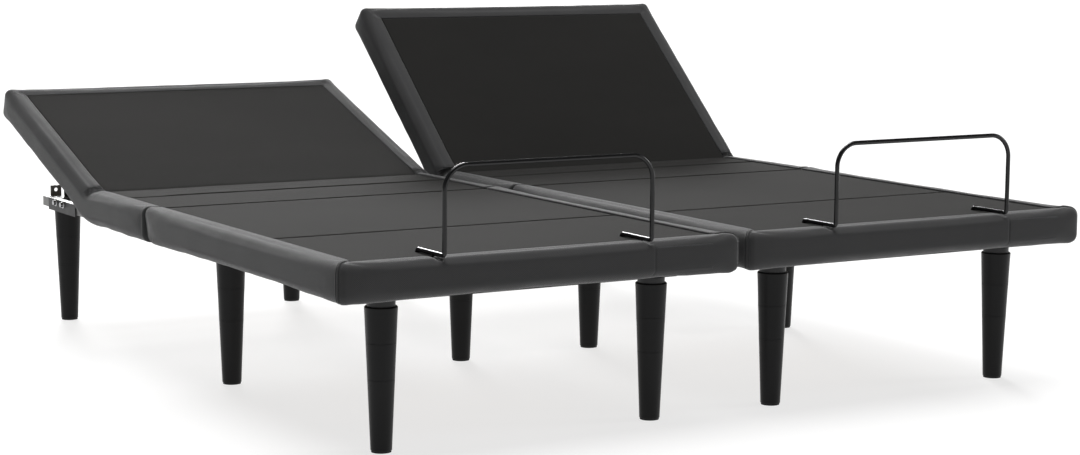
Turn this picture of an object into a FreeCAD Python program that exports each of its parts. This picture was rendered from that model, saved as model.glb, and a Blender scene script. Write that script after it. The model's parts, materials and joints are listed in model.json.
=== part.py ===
import FreeCAD, Part
import math
import os

# Split adjustable bed base: two equal halves side by side, each with a back section that lifts,
# a thigh section that lifts and a foot section that hangs between the thigh section and two links.
# Lengths in millimetres, angles in degrees.
# u runs across one half from its centre line, y from the foot end to the head end, z up from the floor.

# Size over all
half_width = 965.0
gap_between_halves = 26.0
flat_length = 2075.0
back_angle_at_rest = {"left": 19.3, "right": 41.5}

# Heights
leg_height = 305.0
frame_top = 335.0
rail_bottom = 310.0
crossbar_bottom = 317.0
skirt_bottom = 330.0
member_bottom = 365.0
board_bottom = 390.0
board_top = 405.0
deck_top = 411.0
rail_pad_top = 417.0

# Hinge lines, seen from the side as (y, z)
knee_line = (435.0, 377.5)
thigh_line = (1038.0, 403.0)
back_line = (1415.0, 365.0)
back_travel = 60.0
thigh_travel = 40.0
knee_travel = 58.0

# Upholstery
pad_width = 47.2
end_pad_width = 50.0
pad_round = 25.0
soft_gap = 0.4

# Frame
rail_outer = 382.0
rail_width = 20.0
rail_head_end = 2017.0
tube_wall = 2.0
crossbar_width = 50.0
crossbar_lines = {"foot": 120.0, "middle": 932.0, "actuator": 1545.0, "head": 1968.0}
leg_places = {"foot": 331.0, "middle": 308.0, "head": 331.0}
member_line = 330.0
member_size = 25.0
back_member_end = 2012.0
headboard_hole_radius = 5.0

# Legs
leg_top_radius = 35.0
leg_foot_radius = 22.5
leg_module = 76.25
glide_thickness = 4.0
leg_bolt_radius = 5.0
bolt_hole_radius = 5.3
leg_rim = 0.4
nut_across_flats = 16.0

# Back hinge and actuators
hinge_plate = (366.0, 378.0)
bush_radius = 18.0
torque_tube_radius = 15.0
lever_thickness = 6.0
back_lever = 90.0
thigh_lever = 130.0
actuator_line = 90.0
pin_distance = 390.0
pin_radius = 5.0
rod_radius = 9.0
slot_half_width = 6.5
running_clearance = 0.05

# Hinges between the seat and thigh boards
hinge_places = (-300.0, 0.0, 300.0)
leaf_half = 50.0
knuckle_half = 17.0
leaf_thickness = 2.0
leaf_near = 7.0
leaf_far = 37.0
knuckle_radius = 6.0
leaf_pin_radius = 3.0

# Foot links
link_line = 329.0
link_pin = (200.0, 350.0)
link_pivot = (682.0, 330.0)
link_pivot_radius = 6.0

# Retainer bar
bar_radius = 5.0
bar_half_width = 250.0
bar_top = 600.0
bar_line = -2.0
bar_foot_end = 115.0
bar_corner = 52.0
bar_bend = 8.0
bar_foot_height = 417.0

pad_inner = half_width / 2 - pad_width
rail_foot_end = crossbar_lines["foot"] + crossbar_width / 2
rail_inner = rail_outer - rail_width
x_axis = FreeCAD.Vector(1, 0, 0)


def box(x0, x1, y0, y1, z0, z1):
    return Part.makeBox(x1 - x0, y1 - y0, z1 - z0, FreeCAD.Vector(x0, y0, z0))


def post(x, y, z0, z1, radius):
    return Part.makeCylinder(radius, z1 - z0, FreeCAD.Vector(x, y, z0))


def cross_pin(x0, x1, line, radius):
    return Part.makeCylinder(radius, x1 - x0, FreeCAD.Vector(x0, line[0], line[1]), x_axis)


def long_pin(x, y0, y1, z, radius):
    return Part.makeCylinder(radius, y1 - y0, FreeCAD.Vector(x, y0, z), FreeCAD.Vector(0, 1, 0))


def hex_prism(x, y, z0, z1, across_flats):
    radius = across_flats / math.sqrt(3)
    corners = []
    for step in range(7):
        angle = math.radians(60 * step)
        corners.append(FreeCAD.Vector(x + radius * math.cos(angle), y + radius * math.sin(angle), z0))
    return Part.Face(Part.makePolygon(corners)).extrude(FreeCAD.Vector(0, 0, z1 - z0))


def side_prism(outline, x0, x1):
    corners = [FreeCAD.Vector(x0, y, z) for y, z in outline + outline[:1]]
    return Part.Face(Part.makePolygon(corners)).extrude(FreeCAD.Vector(x1 - x0, 0, 0))


def fused(shapes):
    return shapes[0].fuse(shapes[1:]).removeSplitter()


def mirrored(shape):
    return shape.mirror(FreeCAD.Vector(0, 0, 0), x_axis)


def both_sides(shapes):
    return shapes + [mirrored(shape) for shape in shapes]


def turned(shapes, line, angle):
    centre = FreeCAD.Vector(0, line[0], line[1])
    return [shape.copy().rotate(centre, x_axis, angle) for shape in shapes]


def strap(start, start_radius, end, end_radius, x0, x1):
    """Flat bar with round ends between two points in the side view."""
    along_y = end[0] - start[0]
    along_z = end[1] - start[1]
    length = math.hypot(along_y, along_z)
    across = (-along_z / length, along_y / length)
    outline = [
        (start[0] + across[0] * start_radius, start[1] + across[1] * start_radius),
        (end[0] + across[0] * end_radius, end[1] + across[1] * end_radius),
        (end[0] - across[0] * end_radius, end[1] - across[1] * end_radius),
        (start[0] - across[0] * start_radius, start[1] - across[1] * start_radius),
    ]
    bar = side_prism(outline, x0, x1)
    return fused([bar, cross_pin(x0, x1, start, start_radius), cross_pin(x0, x1, end, end_radius)])


def tube_along_y(x0, x1, y0, y1, z0, z1):
    wall = tube_wall
    return box(x0, x1, y0, y1, z0, z1).cut(box(x0 + wall, x1 - wall, y0, y1, z0 + wall, z1 - wall))


def tube_along_x(x0, x1, y0, y1, z0, z1):
    wall = tube_wall
    return box(x0, x1, y0, y1, z0, z1).cut(box(x0, x1, y0 + wall, y1 - wall, z0 + wall, z1 - wall))


def member_along_y(y0, y1):
    edge = member_size / 2
    return tube_along_y(member_line - edge, member_line + edge, y0, y1, member_bottom, board_bottom)


def member_along_x(y):
    edge = member_size / 2
    reach = member_line - edge
    return tube_along_x(-reach, reach, y - edge, y + edge, member_bottom, board_bottom)


# Frame

def side_rails():
    rail = tube_along_y(rail_inner, rail_outer, rail_foot_end, rail_head_end, rail_bottom, frame_top)
    return both_sides([rail])


def leg_plate(u, y):
    """Round plate under a crossbar, a little smaller than the top of the leg."""
    plate = post(u, y, leg_height, crossbar_bottom, leg_top_radius - 5)
    return plate.cut(post(u, y, leg_height, crossbar_bottom, bolt_hole_radius))


def crossbars():
    """Four crossbars and the leg plates. The foot crossbar closes the frame's end."""
    pieces = []
    edge = crossbar_width / 2
    for name, y in crossbar_lines.items():
        reach = rail_outer if name == "foot" else rail_inner
        bar = tube_along_x(-reach, reach, y - edge, y + edge, crossbar_bottom, frame_top)
        if name in leg_places:
            for u in (-leg_places[name], leg_places[name]):
                pieces.append(leg_plate(u, y))
                bar = bar.cut(post(u, y, crossbar_bottom, crossbar_bottom + tube_wall, bolt_hole_radius))
        pieces.append(bar)
    return pieces


def back_hinge_bracket():
    x0, x1 = hinge_plate
    y, z = back_line
    outline = [(y - 32, frame_top), (y + 32, frame_top), (y + 20, z), (y - 20, z)]
    bracket = fused([side_prism(outline, x0, x1), cross_pin(x0, x1, back_line, bush_radius + 4.5)])
    return bracket.cut(cross_pin(x0, x1, back_line, bush_radius))


def actuator_bracket(centre, face_y, pin_y, pin_low, pin_high):
    """Two hanging plates with an upright slot, which leaves the actuator's rear pin free to float."""
    y0, y1 = sorted((face_y, pin_y + math.copysign(16, pin_y - face_y)))
    plates = []
    for x0 in (centre - 15 - lever_thickness, centre + 15):
        x1 = x0 + lever_thickness
        plate = box(x0, x1, y0, y1, pin_low - 18, frame_top)
        slot = strap((pin_y, pin_low), slot_half_width, (pin_y, pin_high), slot_half_width, x0, x1)
        plates.append(plate.cut(slot))
    return plates


def frame_post(y):
    """Upright between a side rail and the seat board."""
    return tube_along_y(rail_inner - 30, rail_inner, y - 15, y + 15, frame_top - 8, board_bottom)


def corner_plate():
    """Black plate on the outside of the rail, with two hex bolts and washers."""
    face = rail_outer + 4
    pieces = [box(rail_outer, face, 1760, 1962, leg_height, frame_top + 2)]
    for y in (1851.0, 1905.0):
        line = (y, frame_top - 7)
        pieces.append(fused([cross_pin(face, face + 2, line, 9), cross_pin(face + 2, face + 8, line, 7)]))
    return pieces


def link_boss():
    """Stub and pin on the side rail, which the foot link turns on."""
    y = link_pivot[0]
    inner = link_line + 13
    stub = box(inner, rail_inner, y - 12, y + 12, rail_bottom, frame_top)
    return fused([stub, cross_pin(link_line - 5, inner, link_pivot, link_pivot_radius)])


def frame_brackets():
    """Everything that is welded or bolted on the rails and crossbars."""
    pairs = [back_hinge_bracket(), frame_post(1090.0), frame_post(1358.0), link_boss()] + corner_plate()
    edge = crossbar_width / 2
    low, high = back_lever_heights()
    face = crossbar_lines["middle"] + edge
    brackets = actuator_bracket(actuator_line, face, back_rear_pin(), low, high)
    low, high = thigh_lever_heights()
    face = crossbar_lines["actuator"] - edge
    brackets += actuator_bracket(-actuator_line, face, thigh_rear_pin(), low, high)
    return both_sides(pairs) + brackets


def hinge_bushes():
    x0, x1 = hinge_plate[0] - 2, hinge_plate[1] + 2
    bush = cross_pin(x0, x1, back_line, bush_radius - running_clearance)
    return both_sides([bush.cut(cross_pin(x0, x1, back_line, torque_tube_radius + running_clearance))])


def rest_bumpers():
    bumpers = []
    for y in crossbar_lines.values():
        bumpers.append(post(member_line, y, frame_top, member_bottom - 0.4, 10))
    return both_sides(bumpers)


def headboard_brackets():
    y = rail_head_end - 5
    x0, x1 = rail_inner - 30, rail_inner - 0.2
    plate = box(x0, x1, y, y + 3, rail_bottom, frame_top + 27)
    for z in (rail_bottom + 12, frame_top + 15):
        plate = plate.cut(long_pin((rail_inner + x0) / 2, y, y + 3, z, headboard_hole_radius))
    crossbar_face = crossbar_lines["head"] + crossbar_width / 2
    tie = box(x0, x1, crossbar_face, y, crossbar_bottom, crossbar_bottom + 3)
    return both_sides([fused([plate, tie])])


# Legs

def leg_radius(z):
    share = (z - glide_thickness) / (leg_height - glide_thickness)
    return leg_foot_radius + (leg_top_radius - leg_foot_radius) * share


def leg_length(z0, z1, top_round):
    """Round tapered length of leg with softened rims."""
    rim = leg_rim
    profile = [
        FreeCAD.Vector(0, 0, z0),
        FreeCAD.Vector(leg_radius(z0) - rim, 0, z0),
        FreeCAD.Vector(leg_radius(z0), 0, z0 + rim),
        FreeCAD.Vector(leg_radius(z1 - top_round), 0, z1 - top_round),
        FreeCAD.Vector(leg_radius(z1) - top_round, 0, z1),
        FreeCAD.Vector(0, 0, z1),
        FreeCAD.Vector(0, 0, z0),
    ]
    face = Part.Face(Part.makePolygon(profile))
    return face.revolve(FreeCAD.Vector(0, 0, 0), FreeCAD.Vector(0, 0, 1), 360)


def at_legs(shape):
    placed = []
    for name, u in leg_places.items():
        for x in (-u, u):
            moved = shape.copy()
            moved.translate(FreeCAD.Vector(x, crossbar_lines[name], 0))
            placed.append(moved)
    return placed


def legs():
    joint = leg_height - 2 * leg_module
    leg = leg_length(glide_thickness, joint, leg_rim).cut(post(0, 0, joint - 40, joint, bolt_hole_radius))
    return at_legs(leg)


def leg_spacers():
    spacers = []
    for step in (1, 2):
        z0 = leg_height - step * leg_module
        spacer = leg_length(z0, z0 + leg_module, 2.5 if step == 1 else leg_rim)
        spacers += at_legs(spacer.cut(post(0, 0, z0, z0 + leg_module, bolt_hole_radius)))
    return spacers


def leg_glides():
    return at_legs(post(0, 0, 0, glide_thickness, leg_foot_radius - 1.5))


def leg_bolts():
    """One long bolt through both spacers of each leg, with its nut inside the crossbar."""
    joint = leg_height - 2 * leg_module
    nut_seat = crossbar_bottom + tube_wall
    shank = post(0, 0, joint - 38, nut_seat + 12, leg_bolt_radius)
    return at_legs(fused([shank, hex_prism(0, 0, nut_seat, nut_seat + 8, nut_across_flats)]))


# Upholstered sections, flat

def rounded_rail_face(corner, inner, outer):
    """Section of a foam rail from its inner to its outer face, with round outer edges.

    corner(across, z) gives the point of the section at a distance across and a height."""
    turn = math.copysign(pad_round, inner - outer)
    rise = pad_round * (1 - math.sqrt(0.5))
    inset = math.copysign(rise, turn)
    low, high = skirt_bottom, rail_pad_top
    low_arc = [(outer + turn, low), (outer + inset, low + rise), (outer, low + pad_round)]
    high_arc = [(outer, high - pad_round), (outer + inset, high - rise), (outer + turn, high)]
    edges = [
        Part.LineSegment(corner(inner, low), corner(*low_arc[0])),
        Part.Arc(*[corner(*place) for place in low_arc]),
        Part.LineSegment(corner(*low_arc[2]), corner(*high_arc[0])),
        Part.Arc(*[corner(*place) for place in high_arc]),
        Part.LineSegment(corner(*high_arc[2]), corner(inner, high)),
        Part.LineSegment(corner(inner, high), corner(inner, low)),
    ]
    return Part.Face(Part.Wire([edge.toShape() for edge in edges]))


def side_pads(outline):
    """Foam rails along both long edges, cut to the side outline of one section."""
    y0 = min(y for y, _ in outline)
    y1 = max(y for y, _ in outline)

    def corner(x, z):
        return FreeCAD.Vector(x, y0, z)

    face = rounded_rail_face(corner, pad_inner + soft_gap, half_width / 2)
    bar = face.extrude(FreeCAD.Vector(0, y1 - y0, 0))
    pad = bar.common(side_prism(outline, pad_inner - 1, half_width / 2 + 1))
    return both_sides([pad])


def end_pad(outer_y, inner_y):
    """Foam rail across a short edge, rounded on its outer side."""

    def corner(y, z):
        return FreeCAD.Vector(-pad_inner, y, z)

    return rounded_rail_face(corner, inner_y, outer_y).extrude(FreeCAD.Vector(2 * pad_inner, 0, 0))


def board(y0, y1):
    return box(-pad_inner, pad_inner, y0, y1, board_bottom, board_top)


def top_pad(y0, y1):
    return box(-pad_inner, pad_inner, y0, y1, board_top + soft_gap, deck_top)


def setback(line, height, travel):
    """How far two facing ends stand back from a hinge line to meet at full travel."""
    return (height - line[1]) * math.tan(math.radians(travel / 2)) + 1.5


# Hinges between the seat and thigh boards, let into the board tops

def leaf_plate(x, reach, y0, y1):
    return box(x - reach, x + reach, y0, y1, board_top - leaf_thickness, board_top)


def leaf_pocket(x, y0, y1):
    return leaf_plate(x, leaf_half + 0.2, y0, y1)


def seat_hinge_leaves():
    y = thigh_line[0]
    leaves = []
    for x in hinge_places:
        parts = [leaf_plate(x, leaf_half, y + leaf_near + 0.2, y + leaf_far)]
        for x0, x1 in ((x - leaf_half, x - knuckle_half), (x + knuckle_half, x + leaf_half)):
            parts.append(leaf_plate((x0 + x1) / 2, (x1 - x0) / 2, y, y + leaf_near + 1))
            parts.append(cross_pin(x0, x1, thigh_line, knuckle_radius))
        bore = cross_pin(x - leaf_half, x + leaf_half, thigh_line, leaf_pin_radius + running_clearance)
        leaves.append(fused(parts).cut(bore))
    return leaves


def thigh_hinge_leaves():
    y = thigh_line[0]
    reach = knuckle_half - 0.4
    leaves = []
    for x in hinge_places:
        plate = leaf_plate(x, leaf_half, y - leaf_far, y - leaf_near - 0.2)
        tab = leaf_plate(x, reach, y - leaf_near - 1, y)
        middle = cross_pin(x - reach, x + reach, thigh_line, knuckle_radius)
        pin = cross_pin(x - leaf_half - 1, x + leaf_half + 1, thigh_line, leaf_pin_radius)
        leaves.append(fused([plate, tab, middle, pin]))
    return leaves


# Seat section, fixed

def seat_section():
    y0 = thigh_line[0]
    deck = board(y0 + leaf_near, back_line[0] - setback(back_line, board_top, back_travel))
    for x in hinge_places:
        deck = deck.cut(leaf_pocket(x, y0 + leaf_near, y0 + leaf_far + 0.4))
    top_end = back_line[0] - setback(back_line, deck_top, back_travel)
    outline = [
        (y0 + 2, skirt_bottom),
        (back_line[0] - 1.5, skirt_bottom),
        (back_line[0] - 1.5, back_line[1]),
        (back_line[0] - setback(back_line, rail_pad_top, back_travel), rail_pad_top),
        (y0 + 2, rail_pad_top),
    ]
    return {
        "seat_deck": [deck],
        "seat_rail_pads": side_pads(outline),
        "seat_top_pad": [top_pad(y0 + leaf_near, top_end)],
    }


def control_box():
    """Case under the seat board, with a lid line all round, an inlet and three motor sockets."""
    x0, x1 = 190, 300
    y0, y1 = 1150, 1310
    lid = board_bottom - 20.5
    low = board_bottom - 46
    case = box(x0, x1, y0, y1, low, board_bottom - 0.2)
    outside = box(x0 - 1, x1 + 1, y0 - 1, y1 + 1, lid, lid + 1)
    groove = outside.cut(box(x0 + 1, x1 - 1, y0 + 1, y1 - 1, lid, lid + 1))
    inlet = box(x1 - 2, x1, y0 + 20, y0 + 48, low + 4, low + 22)
    sockets = [cross_pin(x1 - 12, x1, (y0 + step, low + 13), 6) for step in (75, 100, 125)]
    return case.cut([groove, inlet] + sockets)


# Back section

def lever_end(line, lever, angle):
    lean = math.radians(angle)
    return (line[0] + lever * math.sin(lean), line[1] - lever * math.cos(lean))


def back_lever_pin():
    return lever_end(back_line, back_lever, -back_travel / 2)


def thigh_lever_pin():
    return lever_end(thigh_line, thigh_lever, thigh_travel / 2)


def back_lever_heights():
    return back_line[1] - back_lever, back_lever_pin()[1]


def thigh_lever_heights():
    return thigh_line[1] - thigh_lever, thigh_lever_pin()[1]


def back_rear_pin():
    return back_lever_pin()[0] - pin_distance


def thigh_rear_pin():
    return thigh_lever_pin()[0] + pin_distance


def lever_plates(centre, start, start_radius, pin):
    plates = []
    for x0 in (centre - 10 - lever_thickness, centre + 10):
        x1 = x0 + lever_thickness
        plate = strap(start, start_radius, pin, 14, x0, x1)
        plates.append(plate.cut(cross_pin(x0, x1, pin, pin_radius + running_clearance)))
    return plates


def back_frame():
    """Torque tube, two long members, three cross members and the actuator's two lever plates."""
    reach = hinge_plate[1] + 2
    filled = cross_pin(-reach, reach, back_line, torque_tube_radius)
    tube = filled.cut(cross_pin(-reach, reach, back_line, torque_tube_radius - 3))
    member = member_along_y(back_line[0] + 6, back_member_end).cut(filled)
    last = back_member_end - member_size / 2
    cross = [member_along_x(place) for place in (1512.0, 1756.0, last)]
    levers = lever_plates(actuator_line, back_line, 20, back_lever_pin())
    return [tube] + both_sides([member]) + cross + [plate.cut(filled) for plate in levers]


def back_section():
    start = back_line[0]
    deck = board(start + setback(back_line, board_top, back_travel), flat_length - end_pad_width - soft_gap)
    top_start = start + setback(back_line, deck_top, back_travel)
    outline = [
        (start + 1.5, skirt_bottom),
        (flat_length, skirt_bottom),
        (flat_length, rail_pad_top),
        (start + setback(back_line, rail_pad_top, back_travel), rail_pad_top),
        (start + 1.5, back_line[1]),
    ]
    return {
        "back_deck": [deck],
        "back_frame": back_frame(),
        "back_rail_pads": side_pads(outline) + [end_pad(flat_length, flat_length - end_pad_width)],
        "back_top_pad": [top_pad(top_start, flat_length - end_pad_width - soft_gap)],
    }


# Thigh and foot sections

def knuckle(line, y_from, x0, x1):
    radius = member_size / 2
    y0, y1 = sorted((line[0], y_from))
    return fused([cross_pin(x0, x1, line, radius), box(x0, x1, y0, y1, line[1] - radius, line[1] + radius)])


def thigh_frame():
    """Two long members with knee ears, three cross members and the actuator's two lever plates."""
    edge = member_size / 2
    end = thigh_line[0] - 11.5
    tongue = knuckle(knee_line, knee_line[0] + 14, member_line + 0.4, member_line + edge)
    pin = cross_pin(member_line - edge, member_line + 2, knee_line, pin_radius)
    member = fused([member_along_y(knee_line[0] + 14, end), tongue, pin])
    cross = [member_along_x(place) for place in (end - edge, 740.0, knee_line[0] + 32)]
    start = (end - edge, member_bottom + edge)
    seat = box(-member_line, member_line, end - member_size, end, member_bottom, board_bottom)
    levers = lever_plates(-actuator_line, start, edge, thigh_lever_pin())
    return both_sides([member]) + cross + [plate.cut(seat) for plate in levers]


def foot_frame():
    """Two long members with knee ears, two cross members and the slotted ears of the links."""
    edge = member_size / 2
    tongue = knuckle(knee_line, knee_line[0] - 14, member_line - edge, member_line - 0.4)
    member = fused([member_along_y(64, knee_line[0] - 14), tongue])
    bore_radius = pin_radius + running_clearance
    member = member.cut(cross_pin(member_line - edge, member_line, knee_line, bore_radius))
    y, z = link_pin
    ear = box(318, 324, y - 17, y + 17, z - 12, member_bottom)
    ear = ear.cut(strap((y - 6, z), 7, (y + 6, z), 7, 318, 324))
    cross = [member_along_x(place) for place in (64 + edge, 300.0)]
    return both_sides([member, ear]) + cross


def thigh_section():
    y0 = knee_line[0]
    y1 = thigh_line[0]
    deck = board(y0 + 1, y1 - leaf_near)
    for x in hinge_places:
        deck = deck.cut(leaf_pocket(x, y1 - leaf_far - 0.4, y1 - leaf_near))
    closing = setback(knee_line, 2 * knee_line[1] - skirt_bottom, knee_travel)
    outline = [
        (y0 + 1.5, rail_pad_top),
        (y0 + 1.5, knee_line[1]),
        (y0 + closing, skirt_bottom),
        (y1 - 35, skirt_bottom),
        (y1 - 12, rail_pad_top),
    ]
    return {
        "thigh_deck": [deck],
        "thigh_frame": thigh_frame() + thigh_hinge_leaves(),
        "thigh_rail_pads": side_pads(outline),
        "thigh_top_pad": [top_pad(y0 + 1, y1 - leaf_near)],
    }


def retainer_bar():
    """One bent rod: foot, upright, top, upright, foot, with both ends turned down through the deck."""
    base = board_bottom - 8
    half_path = [
        (FreeCAD.Vector(bar_half_width, bar_foot_end, base), 0),
        (FreeCAD.Vector(bar_half_width, bar_foot_end, bar_foot_height), bar_bend),
        (FreeCAD.Vector(bar_half_width, bar_line, bar_foot_height), bar_bend),
        (FreeCAD.Vector(bar_half_width, bar_line, bar_top), bar_corner),
        (FreeCAD.Vector(0, bar_line, bar_top), 0),
    ]
    pieces = []
    start = half_path[0][0]
    for index in range(1, len(half_path)):
        corner, radius = half_path[index]
        arriving = (corner - half_path[index - 1][0]).normalize()
        bend_start = corner - arriving * radius
        run = bend_start - start
        pieces.append(Part.makeCylinder(bar_radius, run.Length, start, run))
        if radius:
            leaving = (half_path[index + 1][0] - corner).normalize()
            centre = bend_start + leaving * radius
            section = Part.Face(Part.Wire([Part.makeCircle(bar_radius, bend_start, arriving)]))
            pieces.append(section.revolve(centre, arriving.cross(leaving), 90))
            start = corner + leaving * radius
    pieces.append(hex_prism(bar_half_width, bar_foot_end, base + 1.5, board_bottom - 0.2, nut_across_flats))
    half = fused(pieces)
    return fused([half, mirrored(half)])


def grooved_for_bar(pad):
    """The bar's two feet press into the top of the end rail."""
    reach = bar_radius + 1.5
    for u in (-bar_half_width, bar_half_width):
        pad = pad.cut(box(u - reach, u + reach, -1, end_pad_width, deck_top, rail_pad_top))
    return pad


def name_plate():
    x0 = half_width / 2 - 218
    plate = box(x0, x0 + 145, -2.6, -0.4, 344, 400)
    upright = [edge for edge in plate.Edges if abs(edge.tangentAt(edge.FirstParameter).y) > 0.9]
    plate = plate.makeFillet(4, upright)
    recess = box(x0 + 5, x0 + 140, -2.6, -1.8, 349, 395)
    return plate.cut(recess)


def foot_section():
    y1 = knee_line[0]
    deck = board(end_pad_width + soft_gap, y1 - 1)
    cover = top_pad(end_pad_width + soft_gap, y1 - 1)
    for x in (-bar_half_width, bar_half_width):
        hole = post(x, bar_foot_end, board_bottom, deck_top, bar_radius + 1)
        deck = deck.cut(hole)
        cover = cover.cut(hole)
    closing = setback(knee_line, 2 * knee_line[1] - skirt_bottom, knee_travel)
    outline = [
        (0, skirt_bottom),
        (y1 - closing, skirt_bottom),
        (y1 - 1.5, knee_line[1]),
        (y1 - 1.5, rail_pad_top),
        (0, rail_pad_top),
    ]
    return {
        "foot_deck": [deck],
        "foot_frame": foot_frame(),
        "foot_rail_pads": side_pads(outline) + [grooved_for_bar(end_pad(0, end_pad_width))],
        "foot_top_pad": [cover],
        "retainer_bar": [retainer_bar()],
        "name_plate": [name_plate()],
    }


def foot_links():
    bar = strap(link_pin, 11, link_pivot, 12, link_line - 3, link_line + 3)
    bore_radius = link_pivot_radius + running_clearance
    bar = bar.cut(cross_pin(link_line - 3, link_line + 3, link_pivot, bore_radius))
    pin = cross_pin(314, link_line + 3, link_pin, pin_radius)
    head = cross_pin(312.5, 315, link_pin, 8)
    return both_sides([fused([bar, pin, head])])


# Actuators, drawn along +Y from the rear pin at the origin

def actuator_motor():
    """Gear case with a rear eye, the motor beside it and the guide tube in front."""
    case = box(-30, 92, 22, 118, -32, 32)
    case = case.makeFillet(7, [edge for edge in case.Edges if edge.Length > 90])
    eye = cross_pin(-14.5, 14.5, (0, 0), 13)
    neck = box(-14.5, 14.5, 0, 24, -11, 11)
    pin = cross_pin(-24, 24, (0, 0), pin_radius)
    washers = [cross_pin(-23.5, -21.4, (0, 0), 8), cross_pin(21.4, 23.5, (0, 0), 8)]
    motor = fused([long_pin(60, 116, 236, 0, 28), long_pin(60, 236, 244, 0, 24)])
    guide = long_pin(0, 116, 345, 0, 22)
    body = fused([case, eye, neck, pin, motor, guide] + washers)
    body = body.cut(long_pin(0, 122, 330, 0, 16))
    return body.cut(long_pin(0, 329, 345, 0, rod_radius + running_clearance))


def actuator_rod(extension):
    end = pin_distance + extension
    rod = long_pin(0, 150 + extension, end, 0, rod_radius)
    eye = cross_pin(-9.5, 9.5, (end, 0), 13)
    pin = cross_pin(-19, 19, (end, 0), pin_radius)
    washers = [cross_pin(-18.5, -16.4, (end, 0), 8), cross_pin(16.4, 18.5, (end, 0), 8)]
    return fused([rod, eye, pin] + washers)


def back_actuator(angle):
    """Stays level at every back angle; its reach grows evenly with the angle."""
    pin = lever_end(back_line, back_lever, angle - back_travel / 2)
    stroke = 2 * back_lever * math.sin(math.radians(back_travel / 2))
    extension = stroke * angle / back_travel
    move = FreeCAD.Vector(actuator_line, pin[0] - pin_distance - extension, pin[1])
    motor = actuator_motor()
    rod = actuator_rod(extension)
    motor.translate(move)
    rod.translate(move)
    return motor, rod


def leg_actuator():
    pin = thigh_lever_pin()
    move = FreeCAD.Vector(-actuator_line, thigh_rear_pin(), pin[1])
    moved = []
    for shape in (actuator_motor(), actuator_rod(0.0)):
        shape.rotate(FreeCAD.Vector(0, 0, 0), FreeCAD.Vector(0, 0, 1), 180)
        shape.translate(move)
        moved.append(shape)
    return moved


# Whole object

def build_half(side):
    angle = back_angle_at_rest[side]
    nodes = {
        "frame_side_rails": side_rails(),
        "frame_crossbars": crossbars(),
        "frame_brackets": frame_brackets(),
        "legs": legs(),
        "foot_links": foot_links(),
    }
    nodes.update(seat_section())
    for name, shapes in back_section().items():
        nodes[name] = turned(shapes, back_line, angle)
    nodes.update(thigh_section())
    nodes.update(foot_section())
    motor, rod = back_actuator(angle)
    nodes["back_actuator_motor"] = [motor]
    nodes["back_actuator_rod"] = [rod]
    motor, rod = leg_actuator()
    nodes["leg_actuator_motor"] = [motor]
    nodes["leg_actuator_rod"] = [rod]
    return nodes


def shared_pieces():
    """Like pieces of both halves that lie together in one node each."""
    return {
        "leg_spacers": leg_spacers(),
        "leg_glides": leg_glides(),
        "leg_bolts": leg_bolts(),
        "rest_bumpers": rest_bumpers(),
        "hinge_bushes": hinge_bushes(),
        "seat_hinge_leaves": seat_hinge_leaves(),
        "headboard_brackets": headboard_brackets(),
        "control_boxes": [control_box()],
    }


def half_centre(side):
    offset = (half_width + gap_between_halves) / 2
    return -offset if side == "left" else offset


def moved_across(shapes, side):
    moved = []
    for shape in shapes:
        copy = shape.copy()
        copy.translate(FreeCAD.Vector(half_centre(side), 0, 0))
        moved.append(copy)
    return moved


def build_all():
    nodes = {}
    for side in ("left", "right"):
        for name, shapes in build_half(side).items():
            nodes[side + "_" + name] = moved_across(shapes, side)
        for name, shapes in shared_pieces().items():
            nodes.setdefault(name, []).extend(moved_across(shapes, side))
    return nodes


def centre_shift(nodes):
    """Move along y that puts the origin under the middle of the whole base."""
    whole = Part.makeCompound([shape for shapes in nodes.values() for shape in shapes])
    bounds = whole.BoundBox
    return -(bounds.YMin + bounds.YMax) / 2


def main():
    os.makedirs("parts", exist_ok=True)
    nodes = build_all()
    shift = centre_shift(nodes)
    for name, shapes in nodes.items():
        group = Part.makeCompound(shapes)
        group.translate(FreeCAD.Vector(0, shift, 0))
        group.exportStep("parts/" + name + ".step")
    print(len(nodes), "nodes, moved along y by", round(shift, 3))


main()
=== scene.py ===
import json
import math
import random

import bmesh
import bpy
import numpy as np
from mathutils.kdtree import KDTree
from mathutils import Matrix, Vector


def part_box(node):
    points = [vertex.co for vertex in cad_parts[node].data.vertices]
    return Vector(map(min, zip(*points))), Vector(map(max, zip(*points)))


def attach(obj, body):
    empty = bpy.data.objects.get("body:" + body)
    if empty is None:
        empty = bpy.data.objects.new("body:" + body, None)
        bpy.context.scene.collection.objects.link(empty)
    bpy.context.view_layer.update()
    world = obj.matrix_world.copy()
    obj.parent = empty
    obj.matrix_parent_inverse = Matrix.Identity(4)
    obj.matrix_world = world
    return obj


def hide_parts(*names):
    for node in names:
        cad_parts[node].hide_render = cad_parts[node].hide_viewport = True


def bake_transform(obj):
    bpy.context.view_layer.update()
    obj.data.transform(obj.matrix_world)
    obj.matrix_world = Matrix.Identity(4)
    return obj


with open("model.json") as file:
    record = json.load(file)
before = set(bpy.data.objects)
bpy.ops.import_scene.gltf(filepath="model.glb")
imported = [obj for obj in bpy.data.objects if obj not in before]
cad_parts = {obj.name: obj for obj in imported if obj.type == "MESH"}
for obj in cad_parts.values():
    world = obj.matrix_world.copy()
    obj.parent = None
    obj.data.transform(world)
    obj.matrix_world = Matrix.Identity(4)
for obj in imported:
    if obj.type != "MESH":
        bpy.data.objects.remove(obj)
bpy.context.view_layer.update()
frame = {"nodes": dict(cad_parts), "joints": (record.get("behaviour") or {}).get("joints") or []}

print("frame loaded:", len(frame["nodes"]), "nodes")

# Places of each half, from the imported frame. u runs across a half from its centre line,
# y from its foot face to the head end, z up from the floor. All lengths are in metres.

joints = {joint["name"]: joint for joint in frame["joints"]}


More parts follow.
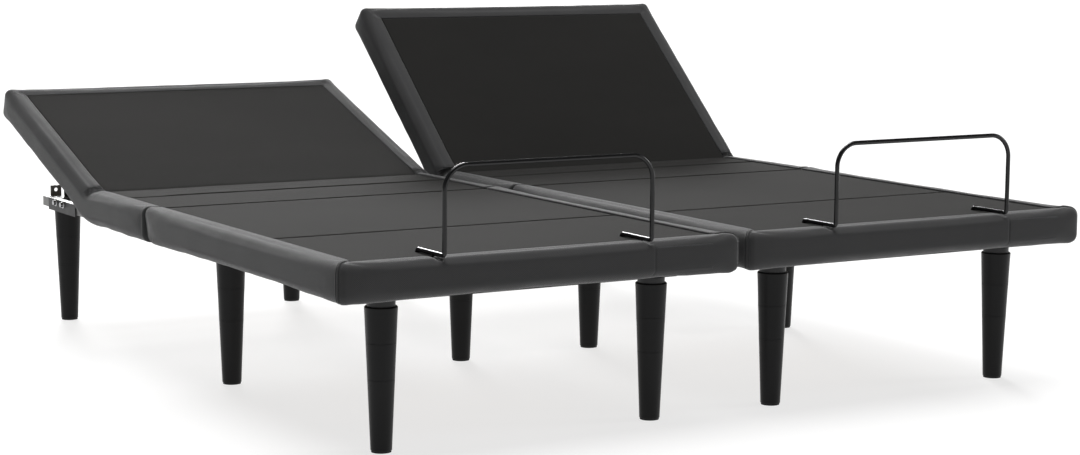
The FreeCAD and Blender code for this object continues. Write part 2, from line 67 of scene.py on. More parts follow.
def halfPlaces(side):
    footLow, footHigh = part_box(side + "_foot_rail_pads")
    deckLow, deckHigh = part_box(side + "_foot_deck")
    padLow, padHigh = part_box(side + "_seat_rail_pads")
    topLow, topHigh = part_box(side + "_seat_top_pad")
    barLow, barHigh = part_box(side + "_retainer_bar")
    centre = (footLow.x + footHigh.x) / 2
    foot = footLow.y

    def line(name):
        place = joints[side + name]["pos_m"]
        return place[1] - foot, place[2]

    return {
        "side": side,
        "centre": centre,
        "foot": foot,
        "half": (footHigh.x - footLow.x) / 2,
        "inner": (deckHigh.x - deckLow.x) / 2,
        "endWidth": deckLow.y - foot,
        "low": footLow.z,
        "high": padHigh.z,
        "deckTop": topHigh.z,
        "deckLow": topLow.z,
        "seatStart": padLow.y - foot,
        "back": line("_back_hinge"),
        "thigh": line("_thigh_hinge"),
        "knee": line("_knee_hinge"),
        "angle": -math.radians(joints[side + "_back_hinge"]["range_deg"][0]),
        "barReach": (barHigh.x - barLow.x) / 2,
    }


halves = {side: halfPlaces(side) for side in ("left", "right")}
flatLength = 2.075  # foot face to head end with the back down


def placed(points, half):
    # from a half's own u, y, z to the frame
    return points + np.array([half["centre"], half["foot"], 0.0])


# Mesh helpers

def finished(name, mesh, material, smooth=True):
    mesh.materials.clear()
    mesh.materials.append(material)
    for polygon in mesh.polygons:
        polygon.use_smooth = smooth
    thing = bpy.data.objects.new(name, mesh)
    bpy.context.scene.collection.objects.link(thing)
    return thing


def outward(mesh):
    shape = bmesh.new()
    shape.from_mesh(mesh)
    bmesh.ops.remove_doubles(shape, verts=shape.verts, dist=1e-6)
    bmesh.ops.recalc_face_normals(shape, faces=shape.faces)
    shape.to_mesh(mesh)
    shape.free()


def joinLoops(shape, loops):
    # walls between loops of the same number of points, closed at both ends
    for one, two in zip(loops, loops[1:]):
        for j in range(len(one)):
            k = (j + 1) % len(one)
            shape.faces.new((one[j], one[k], two[k], two[j]))
    shape.faces.new(loops[0])
    shape.faces.new(loops[-1])


def closedMesh(shape, name):
    bmesh.ops.recalc_face_normals(shape, faces=shape.faces)
    mesh = bpy.data.meshes.new(name)
    shape.to_mesh(mesh)
    shape.free()
    return mesh


def tubeMesh(name, points, along, around):
    # a closed form from rings: points is rings x ring points x 3, with a fan over each end
    rings, count = points.shape[:2]
    vertices = [tuple(p) for p in points.reshape(-1, 3)]
    vertices.append(tuple(points[0].mean(0)))
    vertices.append(tuple(points[-1].mean(0)))
    faces = []
    uvs = []
    for i in range(rings - 1):
        for j in range(count):
            k = (j + 1) % count
            faces.append((i * count + j, i * count + k, (i + 1) * count + k, (i + 1) * count + j))
            uvs += [(along[i], around[j]), (along[i], around[j + 1]),
                    (along[i + 1], around[j + 1]), (along[i + 1], around[j])]
    for ring, middle in ((0, rings * count), (rings - 1, rings * count + 1)):
        for j in range(count):
            k = (j + 1) % count
            pair = (ring * count + k, ring * count + j) if ring == 0 else (ring * count + j, ring * count + k)
            faces.append((pair[0], pair[1], middle))
            uvs += [(vertices[v][0], vertices[v][2]) for v in faces[-1]]
    mesh = bpy.data.meshes.new(name)
    mesh.from_pydata(vertices, [], faces)
    layer = mesh.uv_layers.new(name="cloth")
    layer.data.foreach_set("uv", np.array(uvs, np.float32).ravel())
    outward(mesh)
    return mesh


def ringNormals(points):
    # outward direction at each point of a tube of rings
    alongStep = np.gradient(points, axis=0)
    aroundStep = np.roll(points, -1, 1) - np.roll(points, 1, 1)
    normal = np.cross(alongStep, aroundStep)
    normal /= np.linalg.norm(normal, axis=2, keepdims=True) + 1e-12
    middle = points.mean(1, keepdims=True)
    if ((points - middle) * normal).sum() < 0:
        normal = -normal
    return normal


def smoothStep(values, low, high):
    t = np.clip((values - low) / (high - low), 0, 1)
    return t * t * (3 - 2 * t)


def bump(values, centre, reach):
    return np.exp(-((values - centre) / reach) ** 2)


def ripple(values, seed, shortest, longest, count=6):
    # a gentle unevenness along a seam: a few sines with fixed random lengths
    chance = random.Random(seed)
    total = np.zeros_like(values)
    for _ in range(count):
        length = chance.uniform(shortest, longest)
        total += math.sqrt(length / longest) * np.sin(values * 2 * math.pi / length + chance.uniform(0, 6.28))
    return total / count * 1.6


# Materials: shared effects are node groups, the shaders stay in each material

class Nodes:
    # short hand for building a node tree

    def __init__(self, tree):
        self.tree = tree

    def add(self, kind, **settings):
        node = self.tree.nodes.new(kind)
        for name, value in settings.items():
            setattr(node, name, value)
        return node

    def join(self, source, target):
        self.tree.links.new(source, target)

    def maths(self, operation, first, second=None, third=None):
        node = self.add("ShaderNodeMath", operation=operation)
        for index, value in enumerate((first, second, third)):
            if value is None:
                continue
            if isinstance(value, (int, float)):
                node.inputs[index].default_value = value
            else:
                self.join(value, node.inputs[index])
        return node.outputs[0]


def newGroup(name, inputs, outputs):
    tree = bpy.data.node_groups.new(name, "ShaderNodeTree")
    for label, kind, value in inputs:
        socket = tree.interface.new_socket(label, in_out="INPUT", socket_type=kind)
        if value is not None:
            socket.default_value = value
    for label, kind in outputs:
        tree.interface.new_socket(label, in_out="OUTPUT", socket_type=kind)
    nodes = Nodes(tree)
    return tree, nodes, nodes.add("NodeGroupInput"), nodes.add("NodeGroupOutput")


def buildWeave():
    # twill from two crossed yarn sets in metres on the cloth's own map
    tree, nodes, given, made = newGroup(
        "twillWeave",
        [("Vector", "NodeSocketVector", None), ("Pitch", "NodeSocketFloat", 0.002),
         ("Slant", "NodeSocketFloat", 1.0), ("Fuzz", "NodeSocketFloat", 0.35)],
        [("Height", "NodeSocketFloat"), ("Shade", "NodeSocketFloat")],
    )
    parts = nodes.add("ShaderNodeSeparateXYZ")
    nodes.join(given.outputs["Vector"], parts.inputs[0])
    turn = nodes.maths("DIVIDE", 6.28318, given.outputs["Pitch"])
    across = nodes.maths("MULTIPLY", parts.outputs[0], turn)
    upward = nodes.maths("MULTIPLY", parts.outputs[1], turn)
    slanted = nodes.maths("MULTIPLY_ADD", upward, given.outputs["Slant"], across)
    rib = nodes.maths("MULTIPLY_ADD", nodes.maths("SINE", slanted), 0.5, 0.5)
    yarn = nodes.maths("SINE", nodes.maths("SUBTRACT", across, upward))
    thread = nodes.maths("MULTIPLY_ADD", yarn, 0.2, 0.2)
    noise = nodes.add("ShaderNodeTexNoise", noise_dimensions="2D")
    noise.inputs["Scale"].default_value = 900.0
    noise.inputs["Detail"].default_value = 3.0
    nodes.join(given.outputs["Vector"], noise.inputs["Vector"])
    fuzz = nodes.maths("MULTIPLY", noise.outputs[0], given.outputs["Fuzz"])
    height = nodes.maths("ADD", nodes.maths("MULTIPLY_ADD", rib, 0.55, thread), fuzz)
    nodes.join(height, made.inputs["Height"])
    nodes.join(nodes.maths("MULTIPLY", height, 0.8), made.inputs["Shade"])
    return tree


def buildCloudiness():
    # slow change of tone over a surface: wear, dust and handling
    tree, nodes, given, made = newGroup(
        "cloudiness",
        [("Vector", "NodeSocketVector", None), ("Scale", "NodeSocketFloat", 3.0),
         ("Stretch", "NodeSocketVector", (1.0, 1.0, 1.0)), ("Amount", "NodeSocketFloat", 0.2)],
        [("Factor", "NodeSocketFloat")],
    )
    stretched = nodes.add("ShaderNodeVectorMath", operation="MULTIPLY")
    nodes.join(given.outputs["Vector"], stretched.inputs[0])
    nodes.join(given.outputs["Stretch"], stretched.inputs[1])
    noise = nodes.add("ShaderNodeTexNoise")
    noise.inputs["Detail"].default_value = 5.0
    noise.inputs["Roughness"].default_value = 0.6
    nodes.join(stretched.outputs[0], noise.inputs["Vector"])
    nodes.join(given.outputs["Scale"], noise.inputs["Scale"])
    swing = nodes.maths("SUBTRACT", noise.outputs[0], 0.5)
    factor = nodes.maths("MULTIPLY_ADD", swing, given.outputs["Amount"], 1.0)
    nodes.join(factor, made.inputs["Factor"])
    return tree


def buildGrain():
    # fine skin of moulded plastic, cast paint or raw metal
    tree, nodes, given, made = newGroup(
        "surfaceGrain",
        [("Vector", "NodeSocketVector", None), ("Scale", "NodeSocketFloat", 1200.0)],
        [("Height", "NodeSocketFloat"), ("Mask", "NodeSocketFloat")],
    )
    fine = nodes.add("ShaderNodeTexVoronoi")
    nodes.join(given.outputs["Vector"], fine.inputs["Vector"])
    nodes.join(given.outputs["Scale"], fine.inputs["Scale"])
    broad = nodes.add("ShaderNodeTexNoise")
    broad.inputs["Scale"].default_value = 22.0
    broad.inputs["Detail"].default_value = 6.0
    nodes.join(given.outputs["Vector"], broad.inputs["Vector"])
    nodes.join(fine.outputs["Distance"], made.inputs["Height"])
    nodes.join(broad.outputs[0], made.inputs["Mask"])
    return tree


weaveGroup = buildWeave()
cloudGroup = buildCloudiness()
grainGroup = buildGrain()


def newMaterial(name):
    material = bpy.data.materials.new(name)
    material.use_nodes = True
    nodes = Nodes(material.node_tree)
    shader = material.node_tree.nodes["Principled BSDF"]
    coordinates = nodes.add("ShaderNodeTexCoord")
    return material, nodes, shader, coordinates


def groupNode(nodes, tree, **values):
    node = nodes.add("ShaderNodeGroup", node_tree=tree)
    for name, value in values.items():
        node.inputs[name].default_value = value
    return node


def tinted(nodes, colour, factor):
    # a colour scaled by a factor that changes over the surface
    scale = nodes.add("ShaderNodeVectorMath", operation="SCALE")
    scale.inputs[0].default_value = colour
    nodes.join(factor, scale.inputs["Scale"])
    return scale.outputs[0]


def addRelief(nodes, shader, height, strength, distance):
    relief = nodes.add("ShaderNodeBump")
    relief.inputs["Strength"].default_value = strength
    relief.inputs["Distance"].default_value = distance
    nodes.join(height, relief.inputs["Height"])
    nodes.join(relief.outputs[0], shader.inputs["Normal"])


reliefDepth = {"cloth": 0.0006, "hard": 0.0002, "plywood": 0.0005}


def clothMaterial(name, values):
    material, nodes, shader, coordinates = newMaterial(name)
    if values["onMap"]:
        source = nodes.add("ShaderNodeUVMap", uv_map="cloth").outputs[0]
    else:
        source = coordinates.outputs["Object"]
    weave = groupNode(nodes, weaveGroup, Pitch=values["pitch"], Slant=values["slant"], Fuzz=values["fuzz"])
    nodes.join(source, weave.inputs["Vector"])
    cloud = groupNode(nodes, cloudGroup, Scale=values["cloudScale"], Amount=values["cloudAmount"])
    cloud.inputs["Stretch"].default_value = values["stretch"]
    nodes.join(coordinates.outputs["Object"], cloud.inputs["Vector"])
    lift = nodes.maths("MULTIPLY_ADD", weave.outputs["Shade"], values["contrast"], 1 - values["contrast"] / 2)
    factor = nodes.maths("MULTIPLY", lift, cloud.outputs["Factor"])
    nodes.join(tinted(nodes, values["colour"], factor), shader.inputs["Base Color"])
    rough = nodes.maths("MULTIPLY_ADD", weave.outputs["Height"], -0.08, values["roughness"])
    nodes.join(rough, shader.inputs["Roughness"])
    shader.inputs["Specular IOR Level"].default_value = values["specular"]
    shader.inputs["Sheen Weight"].default_value = values["sheen"]
    shader.inputs["Sheen Roughness"].default_value = values["sheenRoughness"]
    addRelief(nodes, shader, weave.outputs["Height"], values["relief"], reliefDepth["cloth"])
    return material


def hardMaterial(name, values):
    material, nodes, shader, coordinates = newMaterial(name)
    grain = groupNode(nodes, grainGroup, Scale=values["grainScale"])
    nodes.join(coordinates.outputs["Object"], grain.inputs["Vector"])
    cloud = groupNode(nodes, cloudGroup, Scale=values["cloudScale"], Amount=values["cloudAmount"])
    cloud.inputs["Stretch"].default_value = values.get("stretch", (1.0, 1.0, 1.0))
    nodes.join(coordinates.outputs["Object"], cloud.inputs["Vector"])
    nodes.join(tinted(nodes, values["colour"], cloud.outputs["Factor"]), shader.inputs["Base Color"])
    rough = nodes.maths("MULTIPLY_ADD", grain.outputs["Mask"], values["roughSwing"], values["roughness"])
    nodes.join(rough, shader.inputs["Roughness"])
    shader.inputs["Metallic"].default_value = values["metallic"]
    shader.inputs["Specular IOR Level"].default_value = values.get("specular", 0.5)
    shader.inputs["Coat Weight"].default_value = values.get("coat", 0.0)
    shader.inputs["Coat Roughness"].default_value = 0.25
    addRelief(nodes, shader, grain.outputs["Height"], values["relief"], reliefDepth["hard"])
    return material


plywoodValues = {
    "grainStretch": (9.0, 0.9, 9.0), "scale": 1.6, "distortion": 9.0, "detail": 4.0,
    "dark": (0.30, 0.19, 0.105, 1), "light": (0.50, 0.36, 0.22, 1), "roughness": 0.6, "roughSwing": 0.15,
    "relief": 0.25,
}


def plywoodMaterial(name):
    v = plywoodValues
    material, nodes, shader, coordinates = newMaterial(name)
    spread = nodes.add("ShaderNodeMapping")
    spread.inputs["Scale"].default_value = v["grainStretch"]
    nodes.join(coordinates.outputs["Object"], spread.inputs[0])
    bands = nodes.add("ShaderNodeTexWave", bands_direction="X")
    bands.inputs["Scale"].default_value = v["scale"]
    bands.inputs["Distortion"].default_value = v["distortion"]
    bands.inputs["Detail"].default_value = v["detail"]
    nodes.join(spread.outputs[0], bands.inputs["Vector"])
    ramp = nodes.add("ShaderNodeValToRGB")
    ramp.color_ramp.elements[0].color = v["dark"]
    ramp.color_ramp.elements[1].color = v["light"]
    nodes.join(bands.outputs["Fac"], ramp.inputs[0])
    nodes.join(ramp.outputs[0], shader.inputs["Base Color"])
    rough = nodes.maths("MULTIPLY_ADD", bands.outputs["Fac"], v["roughSwing"], v["roughness"])
    nodes.join(rough, shader.inputs["Roughness"])
    addRelief(nodes, shader, bands.outputs["Fac"], v["relief"], reliefDepth["plywood"])
    return material


clothValues = {
    "railCloth": {
        "colour": (0.034, 0.034, 0.0347), "roughness": 0.86, "specular": 0.3, "sheen": 0.45,
        "sheenRoughness": 0.3, "pitch": 0.0040, "slant": 1.0, "fuzz": 0.35, "contrast": 0.75,
        "relief": 0.6, "cloudScale": 5.0, "cloudAmount": 0.3, "stretch": (1.0, 1.0, 1.0), "onMap": True,
    },
    "deckCloth": {
        "colour": (0.0132, 0.0127, 0.0119), "roughness": 0.95, "specular": 0.1, "sheen": 0.02,
        "sheenRoughness": 0.5, "pitch": 0.0018, "slant": 0.0, "fuzz": 0.5, "contrast": 0.35,
        "relief": 0.35, "cloudScale": 2.6, "cloudAmount": 0.45, "stretch": (0.8, 2.6, 1.0), "onMap": False,
    },
    "thread": {
        "colour": (0.04, 0.04, 0.041), "roughness": 0.75, "specular": 0.3, "sheen": 0.2,
        "sheenRoughness": 0.4, "pitch": 0.0006, "slant": 1.0, "fuzz": 0.2, "contrast": 0.4,
        "relief": 0.5, "cloudScale": 30.0, "cloudAmount": 0.2, "stretch": (1.0, 1.0, 1.0), "onMap": False,
    },
}

hardValues = {
    "railPaint": {
        "colour": (0.15, 0.15, 0.147), "roughness": 0.38, "roughSwing": 0.15, "metallic": 0.0,
        "grainScale": 1500.0, "relief": 0.15, "cloudScale": 9.0, "cloudAmount": 0.25, "coat": 0.2,
    },
    "blackPaint": {
        "colour": (0.018, 0.018, 0.019), "roughness": 0.34, "roughSwing": 0.2, "metallic": 0.0,
        "grainScale": 1100.0, "relief": 0.3, "cloudScale": 14.0, "cloudAmount": 0.4, "specular": 0.35,
    },
    "legPlastic": {
        "colour": (0.0095, 0.0095, 0.0098), "roughness": 0.30, "roughSwing": 0.12, "metallic": 0.0,
        "grainScale": 1600.0, "relief": 0.22, "cloudScale": 10.0, "cloudAmount": 0.3, "specular": 0.15,
    },
    "barPaint": {
        "colour": (0.006, 0.006, 0.0063), "roughness": 0.2, "roughSwing": 0.08, "metallic": 0.0,
        "grainScale": 2000.0, "relief": 0.12, "cloudScale": 20.0, "cloudAmount": 0.3, "specular": 0.35,
    },
    "glideRubber": {
        "colour": (0.016, 0.016, 0.016), "roughness": 0.85, "roughSwing": 0.1, "metallic": 0.0,
        "grainScale": 700.0, "relief": 0.6, "cloudScale": 18.0, "cloudAmount": 0.5,
    },
    "bumperRubber": {
        "colour": (0.02, 0.02, 0.02), "roughness": 0.7, "roughSwing": 0.1, "metallic": 0.0,
        "grainScale": 900.0, "relief": 0.35, "cloudScale": 25.0, "cloudAmount": 0.4,
    },
    "zincPlate": {
        "colour": (0.62, 0.63, 0.64), "roughness": 0.3, "roughSwing": 0.2, "metallic": 0.55,
        "grainScale": 900.0, "relief": 0.12, "cloudScale": 40.0, "cloudAmount": 0.35,
    },
    "platePlastic": {
        "colour": (0.020, 0.020, 0.0215), "roughness": 0.42, "roughSwing": 0.1, "metallic": 0.0,
        "grainScale": 1800.0, "relief": 0.25, "cloudScale": 12.0, "cloudAmount": 0.25,
    },
    "motorPlastic": {
        "colour": (0.035, 0.035, 0.037), "roughness": 0.46, "roughSwing": 0.12, "metallic": 0.0,
        "grainScale": 1000.0, "relief": 0.4, "cloudScale": 16.0, "cloudAmount": 0.3,
    },
    "rodSteel": {
        "colour": (0.66, 0.66, 0.66), "roughness": 0.18, "roughSwing": 0.15, "metallic": 1.0,
        "grainScale": 500.0, "relief": 0.08, "cloudScale": 60.0, "cloudAmount": 0.3,
    },
    "bushNylon": {
        "colour": (0.66, 0.65, 0.60), "roughness": 0.5, "roughSwing": 0.1, "metallic": 0.0,
        "grainScale": 1500.0, "relief": 0.1, "cloudScale": 30.0, "cloudAmount": 0.15,
    },
    "printInk": {
        "colour": (0.78, 0.78, 0.78), "roughness": 0.5, "roughSwing": 0.1, "metallic": 0.0,
        "grainScale": 2500.0, "relief": 0.05, "cloudScale": 60.0, "cloudAmount": 0.12,
    },
}

finishes = {name: clothMaterial(name, values) for name, values in clothValues.items()}
finishes.update({name: hardMaterial(name, values) for name, values in hardValues.items()})
finishes["plywood"] = plywoodMaterial("plywood")
print("materials built:", len(finishes))

# Every node that stays in view gets the finish of its slot

finishOfSlot = {
    "rail_grey": "railPaint", "frame_black": "blackPaint", "board": "plywood",
    "deck_fabric": "deckCloth", "rail_fabric": "railCloth", "leg_plastic": "legPlastic",
    "glide": "glideRubber", "bumper": "bumperRubber", "zinc": "zincPlate", "bar_steel": "barPaint",
    "plate_plastic": "platePlastic", "motor_case": "motorPlastic", "rod_steel": "rodSteel",
    "bush": "bushNylon", "control": "platePlastic",
}


def paintNodes():
    for name, node in frame["nodes"].items():
        for index, material in enumerate(node.data.materials):
            slotName = material.name.split(".")[0] if material else ""
            node.data.materials[index] = finishes[finishOfSlot[slotName]]


paintNodes()

# Upholstered rails: one cover over seat and back, one over thigh and foot.
# A ring runs round the rail's section, and the rings follow the rail round the end of the base.

railValues = {
    "topRound": 0.020, "lowRound": 0.022, "innerRound": 0.003, "cornerRound": 0.014,
    "endRound": 0.005, "step": 0.009, "fineStep": 0.0022, "unevenness": 0.0005, "hemWave": 0.0014,
    "seamDepth": 0.0016, "innerGap": 0.0004, "thighTop": 1.0325, "thighLow": 1.003,
    "slope": 0.0050, "seamPlace": 0.2595, "barDent": 0.0058, "dentReach": 0.008, "skinEdge": (0.030, 0.042),
    "topPlace": 0.408, "topReach": 0.012, "topShare": 0.7, "hemPlace": 0.330, "hemReach": 0.022,
    "endSpans": (0.012, 0.0125), "cornerSpan": 0.002, "barInset": 0.005, "dentSpan": 0.02,
    "seamSpan": 0.006, "easeEnds": (0.004, 0.060), "leanLength": 0.10,
    "dentHeights": (0.385, 0.405), "dentFront": (0.002, 0.012), "dentBack": (0.049, 0.056),
    "seamDepths": (0.004, 0.016), "seamLow": (0.334, 0.340),
    "seamHigh": (0.401, 0.406), "seamReach": 0.0016,
}


def railSection(half, endWidth):
    # (distance in from the outer face, height, share of slope at the foot end), inner bottom corner first
    v = railValues
    low, high, width = half["low"], half["high"], endWidth - v["innerGap"]
    points = []
    for share in np.linspace(0, 1, 5)[:-1]:
        points.append((width + (v["lowRound"] - width) * share, low))
    for angle in np.linspace(0, math.pi / 2, 8)[:-1]:
        r = v["lowRound"]
        points.append((r - r * math.sin(angle), low + r - r * math.cos(angle)))
    for share in np.linspace(0, 1, 8)[:-1]:
        points.append((0.0, low + v["lowRound"] + (high - v["topRound"] - low - v["lowRound"]) * share))
    for angle in np.linspace(0, math.pi / 2, 10)[:-1]:
        r = v["topRound"]
        points.append((r - r * math.cos(angle), high - r + r * math.sin(angle)))
    for share in np.linspace(0, 1, 6)[:-1]:
        points.append((v["topRound"] + (width - v["innerRound"] - v["topRound"]) * share, high))
    for angle in np.linspace(0, math.pi / 2, 5)[:-1]:
        r = v["innerRound"]
        points.append((width - r + r * math.sin(angle), high - r + r * math.cos(angle)))
    for share in np.linspace(0, 1, 9)[:-1]:
        points.append((width, high - v["innerRound"] + (low - high + v["innerRound"]) * share))
    return np.array(points)


def stationsAlong(length, fineSpans):
    # places from 0 to length, closer together inside the fine spans
    v = railValues
    places = [0.0]
    while places[-1] < length - 1e-9:
        here = places[-1]
        near = any(a <= here < b for a, b in fineSpans)
        places.append(min(length, here + (v["fineStep"] if near else v["step"])))
    if places[-1] - places[-2] < 0.3 * v["fineStep"]:
        places.pop(-2)
    return np.array(places)


def endSpans(straight, arc, total):
    # fine rings at both ends of a cover and round both its corners
    first, last = railValues["endSpans"]
    reach = railValues["cornerSpan"]
    ends = [(0, first), (total - last, total)]
    return ends + [(straight - reach, straight + arc), (total - straight - arc, total - straight + reach)]


def railPath(half, start, end, endWidth, fineSpans):
    # outer and inner lines of a U from one long edge round the end and back
    v = railValues
    turn = math.copysign(1, end - start)
    outerHalf, innerHalf = half["half"], half["inner"] + v["innerGap"]
    r = v["cornerRound"]
    innerEnd = end - turn * endWidth
    straight = abs(end - start) - r
    arc = r * math.pi / 2
    total = 2 * (straight + arc) + 2 * (outerHalf - r)
    marks = stationsAlong(total, fineSpans(straight, arc, total))
    outer = np.zeros((len(marks), 2))
    for i, s in enumerate(marks):
        mirror = 1.0
        if s > total / 2:
            s = total - s
            mirror = -1.0
        if s <= straight:
            u, y = -outerHalf, start + turn * s
        elif s <= straight + arc:
            angle = (s - straight) / r
            u = -outerHalf + r - r * math.cos(angle)
            y = end - turn * (r - r * math.sin(angle))
        else:
            u, y = -outerHalf + r + (s - straight - arc), end
        outer[i] = (u * mirror, y)
    inner = np.empty_like(outer)
    inner[:, 0] = np.clip(outer[:, 0], -innerHalf, innerHalf)
    if turn < 0:
        inner[:, 1] = np.maximum(outer[:, 1], innerEnd)
    else:
        inner[:, 1] = np.minimum(outer[:, 1], innerEnd)
    return marks, total, outer, inner


def railRings(half, path, section, ease):
    # rings x section points x 3, in u, y, z with the base flat
    v = railValues
    marks, outer, inner = path[0], path[2], path[3]
    offset, height = section[:, 0], section[:, 1]
    nominal = offset.max()
    span = np.linalg.norm(inner - outer, axis=1)
    direction = (inner - outer) / span[:, None]
    roundPart = v["topRound"]
    points = np.zeros((len(marks), len(section), 3))
    for i in range(len(marks)):
        stretched = np.where(
            offset <= roundPart,
            offset,
            roundPart + (offset - roundPart) * (span[i] - roundPart) / (nominal - roundPart),
        )
        points[i, :, 0] = outer[i, 0] + direction[i, 0] * stretched
        points[i, :, 1] = outer[i, 1] + direction[i, 1] * stretched
        points[i, :, 2] = height
    # where it is eased, the rail's top runs down to the deck, with hardly a step
    share = np.clip((offset - roundPart * 0.6) / (nominal - roundPart * 0.6), 0, 1)
    top = smoothStep(height, half["deckTop"] - 0.012, half["deckTop"] - 0.002)
    points[:, :, 2] -= v["slope"] * ease[:, None] * (share * share * (3 - 2 * share) * top)[None, :]
    return points


def roundedEnds(points, marks, total, radius):
    # the fabric closes over each end with a soft edge
    depth = np.minimum(marks, total - marks)
    for i in np.where(depth < radius)[0]:
        inset = radius - math.sqrt(max(0.0, radius ** 2 - (radius - depth[i]) ** 2))
        middle = (points[i].min(0) + points[i].max(0)) / 2
        size = np.maximum((points[i].max(0) - points[i].min(0)) / 2, 1e-6)
        scale = 1 - inset / size
        scale[1] = 1.0
        points[i] = middle + (points[i] - middle) * scale
    return points


def aroundLengths(section):
    closed = np.vstack([section, section[:1]])
    steps = np.linalg.norm(np.diff(closed, axis=0), axis=1)
    return np.concatenate([[0.0], np.cumsum(steps)])


def uneven(points, marks, section, seed):
    # handmade unevenness of the outer skin: soft waves, and a hem that isn't straight
    v = railValues
    normal = ringNormals(points)
    outerSkin = 1 - smoothStep(section[:, 0], *v["skinEdge"])
    topCorner = bump(section[:, 1], v["topPlace"], v["topReach"]) * outerSkin
    hem = bump(section[:, 1], v["hemPlace"], v["hemReach"])
    wave = ripple(marks, seed, 0.09, 0.42)
    corner = ripple(marks, seed + 1, 0.05, 0.16)
    lowWave = ripple(marks, seed + 2, 0.05, 0.30)
    atCorner = v["topShare"] * corner[:, None] * topCorner[None, :]
    push = v["unevenness"] * (wave[:, None] * outerSkin[None, :] + atCorner)
    moved = points + normal * push[:, :, None]
    moved[:, :, 2] += v["hemWave"] * lowWave[:, None] * hem[None, :] * outerSkin[None, :]
    return moved


clothSim = {
    "pressure": 4.0, "frames": 14, "cap": 0.0042, "mass": 0.25, "tension": 12.0, "bending": 0.8,
    "pinFrom": 0.034, "ringGap": 0.0088,
}


def swollen(points, section, name):
    # foam under tight fabric: the outer skin swells a little between its fixed edges
    v = clothSim
    rings, count = points.shape[:2]
    mesh = tubeMesh(name, points, np.arange(rings) * 0.01, np.arange(count + 1) * 0.01)
    copy = bpy.data.objects.new(name, mesh)
    bpy.context.scene.collection.objects.link(copy)
    pinned = copy.vertex_groups.new(name="pinned")
    # points that fall together share a vertex, so each point looks up its own
    rest = np.array([vertex.co for vertex in mesh.vertices])
    tree = KDTree(len(rest))
    for i, place in enumerate(rest):
        tree.insert(place, i)
    tree.balance()
    own = np.array([tree.find(place)[1] for place in points.reshape(-1, 3)])
    fixed = np.tile(section[:, 0] > v["pinFrom"], (rings, 1))
    fixed[[0, -1]] = True
    pinned.add([int(i) for i in own[fixed.ravel()]], 1.0, "REPLACE")
    cloth = copy.modifiers.new("swell", "CLOTH")
    cloth.settings.use_pressure = True
    cloth.settings.uniform_pressure_force = v["pressure"]
    cloth.settings.mass = v["mass"]
    cloth.settings.tension_stiffness = v["tension"]
    cloth.settings.compression_stiffness = v["tension"]
    cloth.settings.bending_stiffness = v["bending"]
    cloth.settings.vertex_group_mass = "pinned"
    cloth.settings.effector_weights.gravity = 0.0
    cloth.point_cache.frame_start = 1
    cloth.point_cache.frame_end = v["frames"]
    scene = bpy.context.scene
    for step in range(1, v["frames"] + 1):
        scene.frame_set(step)
    evaluated = copy.evaluated_get(bpy.context.evaluated_depsgraph_get())
    result = np.array([vertex.co for vertex in evaluated.data.vertices])
    scene.frame_set(1)
    bpy.data.objects.remove(copy)
    bpy.data.meshes.remove(mesh)
    shift = (result - rest)[own].reshape(rings, count, 3)
    length = np.linalg.norm(shift, axis=2, keepdims=True)
    return shift * np.minimum(1.0, v["cap"] / np.maximum(length, 1e-9))


def spreadShift(shift, coarse, marks):
    # the swelling found on few rings, spread over all of them
    result = np.zeros((len(marks),) + shift.shape[1:])
    for j in range(shift.shape[1]):
        for axis in range(3):
            result[:, j, axis] = np.interp(marks, coarse, shift[:, j, axis])
    return result


swellings = {}


def swelling(kind, points, marks, section):
    # both halves are made alike, so each kind of cover is simulated once
    if kind not in swellings:
        picked = [0]
        for i in range(1, len(marks)):
            if marks[i] - marks[picked[-1]] > clothSim["ringGap"] or i == len(marks) - 1:
                picked.append(i)
        shift = swollen(points[picked], section, kind + "Copy")
        swellings[kind] = spreadShift(shift, marks[picked], marks)
        print("simulated", kind, "largest move", round(float(np.abs(shift).max()) * 1000, 2), "mm")
    return swellings[kind]


def turnedBack(points, half, zone, angle, lowZone=None):
    # bends a flat piece up over the back hinge, over a longer stretch towards its underside
    y0, z0 = half["back"]
    start, end = zone
    if lowZone:
        depth = np.clip((half["high"] - points[..., 2]) / (half["high"] - half["low"]), 0, 1)
        start = start + (lowZone[0] - start) * depth
        end = end + (lowZone[1] - end) * depth
    w = smoothStep(points[..., 1] - y0, start, end) * angle
    dy, dz = points[..., 1] - y0, points[..., 2] - z0
    bent = points.copy()
    bent[..., 1] = y0 + dy * np.cos(w) - dz * np.sin(w)
    bent[..., 2] = z0 + dy * np.sin(w) + dz * np.cos(w)
    return bent


creaseValues = {
    "railZone": (-0.036, 0.042), "lowZone": (-0.100, 0.130), "deckZone": (-0.022, 0.018),
    "pleatDepth": 0.0030, "pleatHeights": (0.402, 0.4135), "pleatEdge": (0.0445, 0.0470), "easeLength": 0.12,
    "pleatInner": 0.0072, "pleatOuter": 0.0100, "pleatFrom": -0.006, "pleatTo": 0.036,
    "seatEase": 0.4, "underBulge": 0.003, "underPlace": 0.062, "underReach": 0.06,
    "underHeights": (0.332, 0.365), "fineFrom": -0.07, "fineTo": 0.10,
}


def eased(share):
    # the inner top edge is eased a little everywhere, and fully where share is one
    return creaseValues["seatEase"] + (1 - creaseValues["seatEase"]) * share


